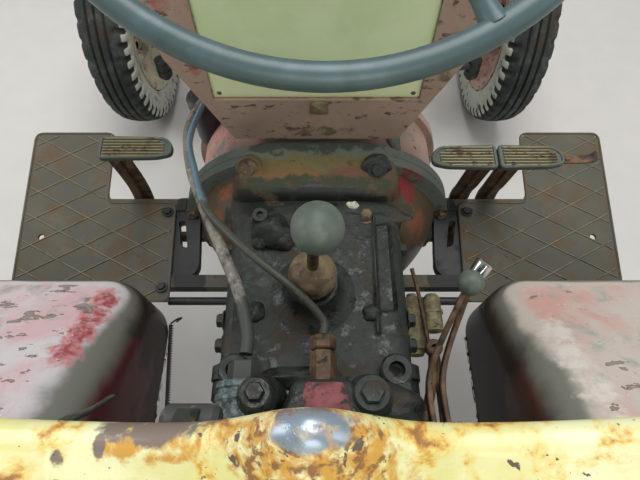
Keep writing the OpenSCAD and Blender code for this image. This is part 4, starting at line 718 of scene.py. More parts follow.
def make_fenders():
    """Both fenders, the sawtooth trim and wire hook inside the left one, and their stays' bolts."""
    grid = fender_rows()
    for side, node, coat in zip(BOTH, ("fender_left", "fender_right"), (LEFT_FENDER, RIGHT_FENDER)):
        piece(node + "_sheet", [shell(grid * [side, 1, 1], OPEN, OPEN)], coat,
              instead_of=[node], wall=3, face=UP)
    count = 200
    run = even([(790, 30), (645, -23), (330, -23)], count)
    tips = np.where(np.arange(count) % 2, -272.5, -277.0)
    trim = np.stack([np.stack([x + 0 * tips, run[:, 0], run[:, 1]], -1) for x in (-281.5, tips)])
    piece("fender_trim_left", [shell(trim, OPEN, OPEN)], RUBBER_HOSE,
          wall=4, face=UP)
    hook = flowing([(-277, 790, 34), (-268, 800, 30), (-262, 806, 22), (-266, 808, 12),
                    (-274, 802, 10)], 24)
    piece("fender_wire_hook", [sweep(hook, circle(1.8, 8), up=RIGHT)], BLACK_ENAMEL)
    stays = sum([bolt((x, y, z), RIGHT * math.copysign(1, -x), 16, 8) for x in (-279.5, 279.5)
                 for y, z in ((-48, 176), (48, 176), (-48, 126), (48, 126))], [])
    piece("fender_stay_bolts", stays, BLACK_ENAMEL)


# Clutch housing and gearbox

BELL_Z, STADIUM, BELL_RING = 40, 64, 128  # the ring's middle, half its flats and its points
DOME_BACK, DOME_DEEP, DOME_R = 900, 112, 179
FLANGE_Y, FLANGE_BOLTS = 1012.5, 193


def stadium(radius, angles):
    """Two circles side by side joined by flats, as distance from their middle at each angle."""
    c, s = np.abs(np.cos(angles)), np.abs(np.sin(angles))
    with np.errstate(divide="ignore"):
        flat = radius / s
    rim = STADIUM * c + np.sqrt(np.maximum(radius ** 2 - (STADIUM * s) ** 2, 0))
    return np.where(flat * c <= STADIUM, flat, rim)


def bell_sections(stations):
    """Rings of the bell from (y, radius at each angle, height of the middle)."""
    angles = full_turn(BELL_RING)
    grid = []
    for y, r, middle in stations:
        ring = [r * np.cos(angles), np.full(BELL_RING, float(y)), middle + r * np.sin(angles)]
        grid.append(np.stack(ring, -1))
    return np.array(grid)


def make_bell():
    """The domed bell: its ring grows from the gearbox's rounded rectangle to the engine's stadium,
    fast at first as on a quarter ellipse. Then the layered flange and the straight part."""
    angles = full_turn(BELL_RING)
    box = ((np.abs(np.cos(angles)) / 143) ** 9 + (np.abs(np.sin(angles)) / 190) ** 9) ** (-1 / 9)
    stations = []
    for t in np.linspace(0, 1, 18):
        w = 0.35 * t + 0.65 * math.sqrt(1 - (1 - t) ** 2)
        radius = box * (1 - w) + stadium(DOME_R, angles) * w
        stations.append((DOME_BACK + DOME_DEEP * t, radius, BELL_Z + 10 - 10 * w))
    for y, r in ((FLANGE_Y, 203), (1013, 205), (1029, 205), (1030, 203.5), (1032, 203.5),
                 (1033, 205), (1051, 205), (1052, 203), (1052.5, 183), (1178, 183),
                 (1178.5, 196), (1180, 197), (1200, 197)):
        stations.append((y, stadium(r, angles), BELL_Z))
    back = [row for row in stations if row[0] < 1052.3]
    piece("clutch_housing_casting", [shell(bell_sections(back))], BELL_IRON,
          instead_of=["clutch_housing"])
    piece("clutch_housing_skirt", [shell(bell_sections(stations[len(back) - 1:]))], FLANGE_ENAMEL)
    saddle = slab(
        soften([(-152, 938), (150, 938), (136, 1066), (-136, 1066)], 62, closed=True, steps=12),
        [(186, -10), (206, -4), (222, 0), (234, 4), (242, 9), (247, 15), (249, 21)])
    rear = unit((0, -0.75, 0.66))
    bosses = [lathe([(0, -34), (22, -30), (23, -4), (22, 1), (19, 3), (15, 2), (14, -2), (0, -2)],
                    (x, 990, 250), rear, 36) for x in (-116, 103)]
    piece("bell_saddle", [saddle, bosses[0]], BELL_IRON)
    grease = [bosses[1], lump((103, 998, 248), (25, 20, 22), 1.4)]
    piece("greasy_saddle_boss", grease + bolt((103, 985, 256), rear, 20, 12), GREASY_IRON)
    heads = bolt((-116, 988, 250), rear, 20, 9)
    for degrees in (8, 172, 200, 228, 312, 340):
        a = math.radians(degrees)
        r = float(stadium(FLANGE_BOLTS, np.array([a]))[0])
        heads += bolt((r * math.cos(a), FLANGE_Y, BELL_Z + r * math.sin(a)), -AHEAD, 17, 10)
    piece("bell_bolts", heads, DUSTY_IRON)
    cover = moved([slab(np.array([(26, 40)]) * circle(1, 40), [(0, 0), (5, 0), (8, 3), (8, 12)])],
                  (148, 1106, 196), x=unit((0.72, 0, -0.7)), y=AHEAD, z=unit((0.7, 0, 0.72)))
    piece("bell_hand_hole_cover", cover, BELL_IRON)


def lump(centre, size, seed, rows=22, sides=40):
    """A cast lump: a flattened ball whose radius swells by a few slow waves over its skin."""
    v, a = np.meshgrid(np.linspace(0, np.pi, rows), full_turn(sides), indexing="ij")
    swell = 1 + 0.09 * np.sin(3 * a + seed) * np.sin(2 * v) \
        + 0.06 * np.sin(5 * a + 2.3 * seed) * np.sin(v) ** 2 \
        + 0.05 * np.sin(4 * v + seed) * np.sin(v)
    grid = np.stack([np.sin(v) * np.cos(a), np.sin(v) * np.sin(a), -np.cos(v)], -1)
    grid = grid * swell[..., None]
    return shell(grid * size + np.asarray(centre, float))


def casting(y, half, low, high, corner, relief):
    """A cast box in rings along y. Each ring is a rounded rectangle, with relief(x, y) in mm added
    to its upper face and faded out round its corners."""
    y, half, low, high = (np.broadcast_to(np.asarray(v, float), np.shape(y))[:, None]
                          for v in (y, half, low, high))
    turn = np.radians(np.concatenate([np.full(120, 90), np.linspace(90, 0, 7),
                                      np.linspace(0, -90, 5), np.linspace(-90, -180, 5),
                                      np.linspace(180, 90, 7)]))
    side = np.concatenate([np.linspace(-1, 1, 120), np.ones(12), -np.ones(12)])
    up = np.concatenate([np.ones(127), -np.ones(10), np.ones(7)])
    x = side * (half - corner) + corner * np.cos(turn)
    z = np.where(up > 0, high, low) - up * corner + corner * np.sin(turn)
    z = z + relief(x, y) * np.clip(np.sin(turn), 0, 1) * (up > 0)
    return shell(np.stack([x, np.broadcast_to(y, x.shape), z], -1))


def window(v, low, high, soft=2.0):
    """1 between low and high and 0 outside, with edges that rise as a smooth S."""
    with np.errstate(over="ignore"):
        return 1 / (1 + np.exp(-(v - low) * 2 / soft)) / (1 + np.exp((v - high) * 2 / soft))


def skin_waves(x, y):
    """The uneven sand-cast skin: three crossed waves of 11 to 31 mm, up to 0.35 mm high."""
    return 0.35 * np.sin(0.31 * x + 1) * np.sin(0.23 * y) + 0.3 * np.sin(0.11 * x - 0.17 * y) \
        + 0.2 * np.sin(0.42 * x + 0.37 * y + 2)


def gearbox_relief(x, y):
    """The gearbox's upper face: a long rib that runs a little askew, a broad edge strip with a sunk
    panel beside it, and a low rib on the left."""
    rib = 6 * window(x - 0.02 * (y - 704), 86, 92, 1.6) * window(y, 702, 905)
    strip = 5 * window(x, 118.5, 127, 2.2) * window(y, 700, 893)
    panel = -5 * window(x, 94, 119, 1.6) * window(y, 738, 888)
    left = 4 * window(x, -126, -119, 2.4) * window(y, 700, 880)
    return rib + strip + panel + left + skin_waves(x, y)


def make_gearbox_top():
    """The gearbox's cast case with its ribs, the lever's flared turret, the lumpy filler casting,
    small bosses and bolts."""
    top = 240
    y = np.concatenate([[640, 641, 660, 662, 664], np.linspace(667, 900, 110)])
    wide = np.interp(y, (660, 664), (147, 137))
    case = casting(y, wide, np.interp(y, (660, 664), (-150, -140)), top, 22, gearbox_relief)
    turret = lathe([(0, top - 4), (70, top - 4), (62, 241), (50, 245), (43, 252), (39, 264),
                    (37, 276), (35, 280), (31, 281), (31, 277), (0, 277)], (-4, 764, 0), UP, 56)
    piece("gearbox_casting", [case, turret], GREASY_IRON,
          instead_of=["gearbox"])
    lumps = [lump((-70, 868, top + 8), (30, 27, 26), 1.0),
             lump((-86, 884, top + 10), (15, 13, 20), 2.2),
             lump((-54, 852, top + 6), (20, 16, 16), 3.1),
             lump((-88, 852, top + 4), (13, 14, 14), 0.4),
             lump((-88, 736, top + 2), (13, 15, 9), 1.7),
             lump((82, 734, top + 1), (14, 13, 7), 2.9),
             lump((30, 905, top - 4), (120, 24, 9), 1.3),
             lump((-20, 640, top), (60, 16, 16), 1.3)]
    ring = lathe([(6, top + 24), (12, top + 24), (13, top + 27), (12, top + 30), (6, top + 30),
                  (6, top + 24)], (-88, 886, 0), UP, 24, OPEN)
    piece("filler_casting", lumps + [ring], GREASY_IRON)
    piece("rusty_gearbox_bolt", bolt((81, 900, top), UP, 17, 13), DUSTY_IRON)
    sides = []
    for y, z in ((732, 214), (696, 206), (860, 200), (780, 60), (690, -60), (860, -60)):
        sides += on_both_sides(bolt((137, y, z), RIGHT, 19, 12))
    for x, z in ((-100, 229), (-40, 229), (40, 229), (100, 229)):
        sides += bolt((x, 641, z), AHEAD, 17, 9)
    piece("gearbox_side_bolts", sides, GREASY_IRON)
    crust = [lump((61, 919, top + 4), (9, 7, 7), 0.7, 12, 18),
             lump((54, 922, top + 3), (5, 5, 5), 1.9, 10, 14),
             lump((-214, 1046, 40), (16, 18, 14), 2.0, 12, 18),
             lump((-226, 1032, 36), (10, 12, 9), 0.3, 10, 14)]
    piece("lime_crust_lumps", crust, WHITE_CRUST)


def make_lift_front():
    """The lift cover: a long cast box whose front end slopes down, a flat-topped block before it,
    the boss of the thick pipe, conical bolt bosses, eyes and the two pipe unions."""
    y = np.concatenate([[-150, -149, -126], np.linspace(-120, 540, 30), np.linspace(546, 606, 26)])
    fall = np.clip((y - 552) / 54, 0, 1)
    high = np.interp(y, (-150, -126), (319, 345)) - 66 * fall ** 1.6
    case = casting(y, 126 - 6 * fall, 238, high, 20, skin_waves)
    block = slab(soften([(-48, 560), (66, 560), (44, 617), (-24, 617)], 9, closed=True),
                 [(250, -6), (300, -2), (334, 0), (339, 3), (341, 8)])
    shoulder = slab(soften([(-112, 560), (-58, 560), (-56, 607), (-116, 604)], 12, closed=True),
                    [(240, -3), (300, 0), (314, 3), (319, 9), (321, 15)])
    ridge = lump((92, 590, 296), (40, 30, 28), 2.7)
    cones = [lathe([(0, -60), (34, -58), (30, -30), (22, -4), (19, 3), (17, 5), (0, 5)],
                   (x, 598, 345), UP, 36) for x in (-67, 65)]
    eyes = []
    for side in BOTH:
        eyes.append(lathe([(11, -8), (19, -8), (22, -5), (22, 5), (19, 8), (11, 8), (11, -8)],
                          (side * 108, 645, 262), UP, 36, OPEN))
        eyes.append(sweep([(side * 110, 598, 262), (side * 109, 628, 262)], bar_outline(34, 15, 4)))
    piece("lift_cover_casting", [case, block, shoulder, ridge, *cones, *eyes], GREASY_IRON,
          instead_of=["lift_housing"])
    bores = [lathe([(0, -127), (40, -127), (42, -124), (42, 124), (40, 127), (0, 127)],
                   (0, -70, 292), RIGHT, 40)]
    bores += [sweep([(x, -148, 276), (x, -205, 276)], bar_outline(14, 44, 3)) for x in (-35, 35)]
    piece("lift_shaft_bosses", bores, GREASY_IRON)
    red = slab(soften([(-16, 572), (42, 572), (34, 612), (-12, 612)], 6, closed=True),
               [(338, 0), (341.6, 0), (342.2, 1)])
    piece("lift_cover_red_patch", [red], WORN_RED)
    heads = bolt((-67, 598, 350), UP, 20, 12) + bolt((65, 598, 350), UP, 24, 9)
    for y in (520, 380, 240, 100, -40):
        heads += on_both_sides(bolt((108, y, 344), UP, 17, 9))
    piece("lift_cover_bolts", heads, GREASY_IRON)
    crust = lathe([(0, -34), (30, -32), (31, -6), (33, -4), (33, 2), (30, 4), (30, 8), (33, 10),
                   (33, 15), (30, 18), (0, 18)],
                  (-88, 600, 305), AHEAD, 40)
    piece("thick_pipe_boss", [crust], DUSTY_CRUST)
    nut = lathe([(0, 0), (20, 0), (21, 2), (21, 24), (19, 26), (10, 26)], (-88, 618, 305), AHEAD, 6)
    piece("thick_pipe_nut", [nut], PIPE_DUSTY)
    small = [lathe([(0, 0), (16, 0), (17, 1), (17, 40), (15, 42), (0, 42)], (10, 616, 305), AHEAD,
                   6),
             lathe([(0, 44), (15, 44), (17, 46), (17, 60), (15, 62), (6, 62)], (10, 616, 305),
                   AHEAD, 6)]
    piece("thin_pipe_union", small, LEVER_IRON)


def make_pipes():
    """The two hydraulic pipes, round tubes along smooth lines from the pump block to the unions,
    the block with its nuts, and the filter bowl."""
    thick = flowing([(-184, 1234, 130), (-196, 1230, 190), (-218, 1180, 222), (-236, 1100, 234),
                     (-213, 991, 262), (-176, 897, 284), (-137, 812, 305), (-104, 740, 307),
                     (-88, 682, 305), (-88, 655, 305)], 120)
    thin = flowing([(-172, 1262, 130), (-178, 1260, 200), (-192, 1210, 244), (-220, 1060, 262),
                    (-196, 960, 284), (-166, 880, 304), (-126, 826, 321), (-78, 776, 331),
                    (-24, 732, 325), (10, 700, 305), (10, 680, 305)], 130)
    piece("thick_pipe", [sweep(thick, circle(8.5, 20), up=RIGHT)], PIPE_DUSTY,
          instead_of=["hydraulic_pipes"])
    piece("thin_pipe", [sweep(thin, circle(5.5, 16), up=RIGHT)], PIPE_BLUE_SHEEN)
    block = slab(soften([(-198, 1208), (-138, 1208), (-138, 1290), (-198, 1290)], 8, closed=True),
                 [(40, 3), (43, 0), (134, 0), (140, 4)])
    nuts = [lathe([(0, 0), (17, 0), (17, 18), (15, 20), (0, 20)], (-184, 1234, 140), UP, 6),
            lathe([(0, 0), (13, 0), (13, 18), (11, 20), (0, 20)], (-172, 1262, 140), UP, 6)]
    piece("pump_block", [block] + nuts, DULL_ALLOY)
    bowl = lathe([(0, 84), (20, 86), (30, 96), (34, 112), (34, 196), (37, 198), (37, 214),
                  (30, 220), (12, 222), (10, 232), (0, 232)], (-222, 1196, 0), UP, 40)
    piece("filter_bowl", [bowl], BLACK_ENAMEL)


# Levers, pedals and plates

def make_gear_lever():
    """The lever: a dusty ball in its turret, a bent stalk and the moulded knob."""
    piece("gear_lever_ball", [ball((-4, 764, 308), 34, sides=40, rows=24)], DUSTY_IRON,
          instead_of=["gear_lever"])
    stalk = flowing([(-4, 764, 318), (-2, 752, 400), (2, 704, 500), (4, 693, 540)], 40)
    piece("gear_lever_stalk", [sweep(stalk, circle(7.5, 16), up=RIGHT)], LEVER_IRON)
    piece("gear_lever_knob", [ball((4, 693, 554), 23.5, sides=48, rows=28),
                              lathe([(0, -30), (11, -30), (12, -28), (13, -18), (0, -18)],
                                    (4, 693, 554), UP, 24)],
          KNOB_PLASTIC)


def make_hand_levers():
    """Two flat lever bars on one pivot, with a moulded knob and a chromed grip."""
    one = flowing([(148, 560, 270), (152, 640, 262), (186, 716, 318), (200, 738, 336)], 40)
    two = flowing([(166, 560, 270), (170, 644, 262), (206, 738, 304), (222, 764, 320)], 40)
    piece("hand_lever_bars", [sweep(one, bar_outline(7, 17, 2), up=UP),
                              sweep(two, bar_outline(7, 17, 2), up=UP),
                              lathe([(0, -20), (20, -20), (20, -16), (15, -14), (15, 36), (19, 38),
                                     (19, 42), (0, 42)], (140, 560, 270), RIGHT, 32)],
          LEVER_IRON, instead_of=["hand_levers"])
    piece("hand_lever_knob", [ball((200, 738, 340), 17, sides=36, rows=20)], KNOB_PLASTIC)
    grip = [lathe([(0, -24), (9, -24), (10, -20), (12, 0), (12.5, 10), (9, 12), (0, 12)],
                  (222, 766, 322), (0.5, 0.55, 0.65), 28)]
    piece("hand_lever_grip", grip, CHROME)


PAD_Z, PAD_DEEP, PAD_LEAN, PAD_RIDGES = 256, 25, 0.12, 7  # PAD_DEEP is half the pad's depth


def ridged_pad(centre_x, y, half, toward):
    """A pedal pad: a plan outline that narrows to a rounded end on the side that `toward` names,
    ridges along its top and a thick turned-down edge. half is half its width."""
    deep = PAD_DEEP
    outline = soften([(-half, -deep + 4), (-half, deep), (half - 14, deep - 3),
                      (half, deep * 0.5 * 0.6), (half, -deep * 0.5),
                      (half - 26, -deep + 6)][::-1], 9, closed=True) * [toward, 1]
    body = slab(outline[::toward], [(-9, 2), (-8, 0), (1, 0), (2.5, 1.5), (2.5, 5), (0.5, 6)])
    ridges = []
    for k in range(PAD_RIDGES):
        v = -deep + 9 + k * (2 * deep - 15) / (PAD_RIDGES - 1)
        short = 14 if abs(v) < deep * 0.45 else 32 if v < 0 else 24
        line = np.array([(e * toward, v, 1) for e in np.linspace(8 - half, half - short, 6)])
        ridges.append(sweep(line, [(-2.1, -1), (2.1, -1), (1.1, 2.2), (-1.1, 2.2)],
                            wear=np.ones(24)))
    return moved([body] + ridges, (centre_x, y, PAD_Z), y=unit((0, 1, PAD_LEAN)),
                 z=unit((0, -PAD_LEAN, 1)))


def pedal_arm(top, middle, foot, low):
    """A pedal's arm: a flat bar 40 mm wide with a raised rib down its middle."""
    line = flowing([top, middle, foot, low], 36)
    flat = sweep(line, bar_outline(40, 9, 3), up=AHEAD)
    rib = sweep(line - [0, 5, 0], bar_outline(9, 8, 2.5), up=AHEAD)
    return [flat, rib]


def make_pedals():
    """The clutch pedal and the two brake pedals with their latch strip, on one cross shaft."""
    arms = [*pedal_arm((-346, 1018, 246), (-356, 1044, 150), (-366, 1060, 70), (-370, 1046, -50)),
            *pedal_arm((284, 1000, 246), (290, 1030, 150), (298, 1058, 70), (300, 1046, -50)),
            *pedal_arm((332, 1000, 246), (342, 1030, 150), (354, 1058, 70), (358, 1046, -50))]
    shaft_y, shaft_z = 1032, -58
    hubs = [lathe([(12, -24), (24, -24), (26, -22), (26, 22), (24, 24), (12, 24)],
                  (x, shaft_y, shaft_z), RIGHT, 32) for x in (-370, 300, 358)]
    shafts = [lathe([(0, 0), (12, 0), (12, 150), (10, 152), (0, 152)],
                    (side * 240, shaft_y, shaft_z), side * RIGHT, 24) for side in BOTH]
    piece("pedal_arms", arms + hubs + shafts, LEVER_IRON, instead_of=["pedals"])
    pads = (ridged_pad(-314, 1030, 64, 1) + ridged_pad(254, 1010, 56, -1)
            + ridged_pad(369, 1010, 56, 1))
    piece("pedal_pads", pads, PEDAL_IRON)
    strip = flowing([(418, 1010, 250), (450, 1010, 250), (474, 1012, 251), (484, 1016, 258)], 20)
    piece("brake_latch",
          [sweep(strip, bar_outline(16, 5, 1.5))] + bolt((430, 1010, 252), UP, 13, 6),
          LEVER_IRON)


PLATE_IN, PLATE_OUT, PLATE_BACK, PLATE_FRONT = 290, 602, 838, 1187
NOTCH_X, NOTCH_Y = 432, 1032
PLATE_SLOPE = math.tan(math.radians(14.6))


def plate_height(y):
    """The footplate's top at y: a plane that rises forward."""
    return 28 + (y - PLATE_BACK) * PLATE_SLOPE


def inside_plate(x, y, rim):
    """Whether a point lies on the right footplate, `rim` in from its edges, notch left out."""
    notch = (x < NOTCH_X + rim) & (y > NOTCH_Y - rim)
    within_x = (x > PLATE_IN + rim) & (x < PLATE_OUT - rim)
    return within_x & (y > PLATE_BACK + rim) & (y < PLATE_FRONT - rim) & ~notch


def make_plate_ridges():
    """The raised diamonds: two sets of straight ridges at 27 degrees, cut where they leave the
    plate. Then the plate's rolled edge, and the slotted brackets with their bolts."""
    cell = np.array((109.0, 55.0))
    foot, crest, tall, rim, shortest = 2.7 / 1.4, 2.7 / 3, 1.5, 7, 5
    outline = [(-foot, -0.6), (foot, -0.6), (crest, tall), (-crest, tall)]
    wear = np.tile([0.2, 0.2, 1, 1], 3)
    ridges = []
    for turn in BOTH:
        along = unit(cell) * [1, turn]
        for k in range(-8, 26):
            start = np.array((PLATE_IN - 40, PLATE_BACK + (k - 6 if turn > 0 else k) * cell[1]))
            reach = start + np.arange(0, 620, 2)[:, None] * along
            on = np.flatnonzero(inside_plate(reach[:, 0], reach[:, 1], rim))
            for run in np.split(on, np.flatnonzero(np.diff(on) > 1) + 1):
                if len(run) > shortest:
                    ends = reach[[run[0], (run[0] + run[-1]) // 2, run[-1]]]
                    line = np.column_stack([ends, plate_height(ends[:, 1])])
                    ridges.append(sweep(line, outline, wear=wear))
    piece("footplate_ridges", on_both_sides(ridges), FOOT_STEEL)
    left, right, front, step = PLATE_IN + 1, PLATE_OUT - 1, PLATE_FRONT - 1, NOTCH_Y + 2
    high, middle = plate_height(front), plate_height(step)
    lip = sweep(soften([(left, PLATE_BACK, 28.2), (right, PLATE_BACK, 28.2), (right, front, high),
                        (NOTCH_X + 1, front, high), (NOTCH_X + 1, step, middle),
                        (left, step, middle)], 16, closed=True), circle(2.2, 8), closed=True)
    outer = soften([(236, 900), (262, 884), (298, 888), (298, 1046), (258, 1050), (240, 1020)], 16,
                   closed=True)
    inner = soften([(262, 944), (276, 950), (284, 1000), (270, 1000)], 6, closed=True)
    outer, inner = even(outer, 64, closed=True), even(inner, 64, closed=True)
    inner = np.roll(inner, -np.argmin(np.linalg.norm(inner - outer[0], axis=1)), 0)
    rows = [np.column_stack([line, plate_height(line[:, 1]) + rise]) for line, rise in
            ((outer, -26), (outer, -7), (outer, -6), (inner, -6), (inner, -26))]
    brackets = [shell(np.array(rows), (True, True), OPEN)]
    heads = sum([bolt((x, y, plate_height(y)), UP, 15, 6) for x, y in ((306, 866), (306, 1016))],
                [])
    piece("footplate_edge", on_both_sides([lip]), FOOT_STEEL)
    piece("footplate_brackets", on_both_sides(brackets + heads), BLACK_ENAMEL)


def make_side_cans():
    """On the gearbox's right: the large spring can, the small banded can and their rods."""
    can = [lathe([(0, -6), (12, -6), (14, 0), (21, 2), (23, 8), (23, 92), (21, 97), (10, 99),
                  (9, 108), (0, 108)], (176, 724, 74), AHEAD, 40)]
    small = [lathe([(0, 0), (14, 0), (15, 3), (15, 30), (17, 31), (17, 36), (15, 37), (15, 60),
                    (10, 66), (0, 67)], (202, 748, 116), AHEAD, 36)]
    piece("spring_cans", can + small, OLIVE_CAN)
    rods = [sweep(flowing([(166, 850, 150), (176, 800, 140), (188, 720, 120)], 20), circle(3.5, 10),
                  up=RIGHT),
            sweep(flowing([(196, 718, 116), (186, 660, 118), (168, 600, 120)], 20), circle(8, 14),
                  up=RIGHT),
            sweep(flowing([(196, 718, 116), (206, 660, 90), (214, 600, 60)], 20), circle(8, 14),
                  up=RIGHT)]
    eye = [lathe([(5, -9), (13, -9), (14, -7), (14, 7), (13, 9), (5, 9), (5, -9)], (196, 718, 118),
                 UP, 28, OPEN)]
    piece("brake_bell_crank", rods + eye, LEVER_IRON)


# Steering wheel and dash

RAKE = math.radians(35)
WHEEL_R, WHEEL_TUBE_R = 222, 10
WHEEL_AXES = dict(centre=(10, 912, 812), x=RIGHT, y=(0, math.cos(RAKE), math.sin(RAKE)),
                  z=(0, -math.sin(RAKE), math.cos(RAKE)))


def make_steering_wheel():
    """The moulded rim (a ring of slightly oval section), three steel spokes in moulded roots, the
    hub and its plain cap."""
    a = full_turn(160)
    rim_line = WHEEL_R * np.stack([np.cos(a), np.sin(a), 0 * a], -1)
    rim = sweep(rim_line, circle(WHEEL_TUBE_R, 24) * [1.0, 0.96], closed=True)
    roots, spokes = [], []
    for degrees in (60, 180, 300):
        t = math.radians(degrees)
        way = np.array((math.cos(t), math.sin(t), 0))
        inner, outer = way * 22 + (0, 0, -10), way * (WHEEL_R - 6)
        spokes.append(sweep(np.linspace(inner, outer, 3), circle(6.5, 16)))
        reach = np.linspace(0, 1, 8)[:, None]
        root = way * (WHEEL_R - 26 + 22 * reach) + np.array((0, 0, -0.6)) * (1 - reach)
        roots.append(sweep(root, circle(1, 16)[None] * (7 + 3 * reach[:, :, None] ** 2)))
    hub = lathe([(0, -41), (22, -41), (27, -36), (27, 2), (24, 6), (24, 8), (0, 8)], (0, 0, 0), UP,
                40)
    cap = lathe([(0, 14), (8, 13.6), (15, 12), (19, 9), (20, 7), (0, 7)][::-1], (0, 0, 0), UP, 36)
    piece("steering_wheel_rim", moved([rim] + roots + [hub], **WHEEL_AXES), WHEEL_PLASTIC,
          "hand_wheel", ["steering_wheel"])
    piece("steering_wheel_spokes", moved(spokes, **WHEEL_AXES), BRIGHT_STEEL, "hand_wheel")
    piece("steering_wheel_cap", moved([cap], **WHEEL_AXES), BLACK_ENAMEL, "hand_wheel")


def make_dash():
    """The dash's tab, the panel's sheet with its dished edge, its gauge, switch and screws."""
    tab = slab(soften([(-16, -14), (16, -14), (14, 14), (-14, 14)], 4, closed=True),
               [(0, 0), (2.5, 0), (4, 2)])
    piece("dash_tab", moved([tab], (4, 1063, 320), y=UP, z=-AHEAD), OLIVE_CAN)
    half, tall = 168, 262
    across, high = np.meshgrid(np.linspace(-half, half, 71), np.linspace(0, tall, 55))
    rim = np.minimum(half - np.abs(across), np.minimum(high, tall - high))
    sheet = np.stack([across, 1068 + 2 * np.exp(-rim / 3), 335 + high], -1)
    panel = shell(sheet, OPEN, OPEN, wear=np.clip(1 - rim / 9, 0, 1))
    piece("dash_panel_sheet", [panel], DASH_GREEN, instead_of=["dash_panel"],
          wall=4, face=-AHEAD)
    bezel = lathe([(34, 0), (39, 0), (39, 4), (37, 6), (35, 6), (34, 4)], (-90, 1069, 555), -AHEAD,
                  48, OPEN)
    piece("gauge_bezel", [bezel], CHROME)
    dial = lathe([(0, 0), (35, 0), (35, 1.5), (0, 1.5)], (-90, 1069.5, 555), -AHEAD, 48)
    piece("gauge_face", [dial], PALE_ENAMEL)
    needle = sweep([(-90, 1067.4, 555), (-76, 1067.4, 573), (-72, 1067.4, 578)],
                   bar_outline(2, 1, 0.3), up=AHEAD)
    switch = lathe([(0, 0), (23, 0), (23, 4), (20, 7), (12, 8), (10, 18), (0, 18)],
                   (104, 1070, 555), -AHEAD, 36)
    piece("dash_switch", [needle, switch], BLACK_ENAMEL)
    screws = []
    for x, z in ((-156, 347), (156, 347), (-156, 585), (156, 585)):
        screws += bolt((x, 1069, z), -AHEAD, 8, 2, False)
    piece("panel_screws", screws, BRIGHT_STEEL)


# Tyres

FRONT_Y, FRONT_Z, FRONT_X, REAR_X = 2000, -225, 658, 650
CROWN_HALF = 33  # half the front tread's ribbed crown
REAR_R, LUGS, LUG_LONG = 560, 18, 118  # lugs in each row of a rear tyre


def wheel_skin(profile, centre, sides, wear=None):
    """Rows of (radius, x) turned round the axle, as a skin with open ends. A row may hold one pair,
    or a pair for each of the sides."""
    profile = np.asarray(profile, float)
    if profile.ndim == 2:
        profile = np.repeat(profile[:, None], sides, 1)
    a = full_turn(sides)
    r, x = profile[..., 0], profile[..., 1]
    grid = np.stack([centre[0] + x, centre[1] + r * np.cos(a), centre[2] + r * np.sin(a)], -1)
    return shell(grid, (False, True), OPEN, wear)


def nut_ring(centre, radius, count, start, out, flats, tall):
    """Nuts at equal angles round an axle."""
    nuts = []
    for k in range(count):
        a = math.radians(360 / count * k + start)
        nuts += bolt((centre[0], centre[1] + radius * math.cos(a),
                      centre[2] + radius * math.sin(a)),
                     out, flats, tall)
    return nuts


def make_front_tyre(side, name, body):
    """Three rounded grooves between four ribs, open notches round both shoulders, and a sidewall
    with short bars under the inner shoulder. Radius falls in each notch by a smooth step."""
    half = flowing([(205.5, -48), (216, -58), (236, -66), (262, -71), (289, -71.5), (304, -69),
                    (315, -64), (322, -58), (327, -50), (330, -41), (331.5, -33)], 40)
    x = np.linspace(-CROWN_HALF, CROWN_HALF, 45)
    crown = np.column_stack([331.5 + 3 * (1 - (x / CROWN_HALF) ** 2), x])
    profile = np.vstack([half, crown[1:-1], (half * [1, -1])[::-1]])
    sides = 384
    r = np.repeat(profile[:, :1], sides, 1)
    across = np.repeat(profile[:, 1:], sides, 1)
    groove = sum(np.exp(-((across - g) / 3.2) ** 4) for g in (-25, 0, 25))
    turn = np.arange(sides) / sides
    fine, broad = (window(np.abs(turn * count % 1 - 0.5), -0.3, width, 0.06)[None]
                   for count, width in ((48, 0.19), (32, 0.13)))
    notch = np.where(across < 0, fine, broad)
    shoulder = np.exp(-((np.abs(across) - 58) / 15) ** 4) * (r > 285)
    step = np.where(np.abs(across) > CROWN_HALF, (9 + 3 * (across > 0)) * notch * shoulder,
                    11 * groove)
    bars = (across < 0) * window(r, 278, 326, 5) * (np.abs(across) > 56)
    r = r - step * (r > 285)
    across = across * (1 - 0.07 * bars * notch)
    chalk = np.where(across < 0, window(r, 0, 286, 4) + bars * (1 - notch),
                     0.5 * window(r, 0, 296, 8))
    wear = np.clip((np.abs(across) - 56) / 8, 0, 1) * chalk
    centre = (side * FRONT_X, FRONT_Y, FRONT_Z)
    skin = wheel_skin(np.stack([r, across * side], -1), centre, sides, wear)
    bead = wheel_skin([(205.5, 48), (205.5, -48)], centre, sides)
    piece(name + "_rubber", [skin, bead], TYRE_RUBBER, body, [name], angle=55)


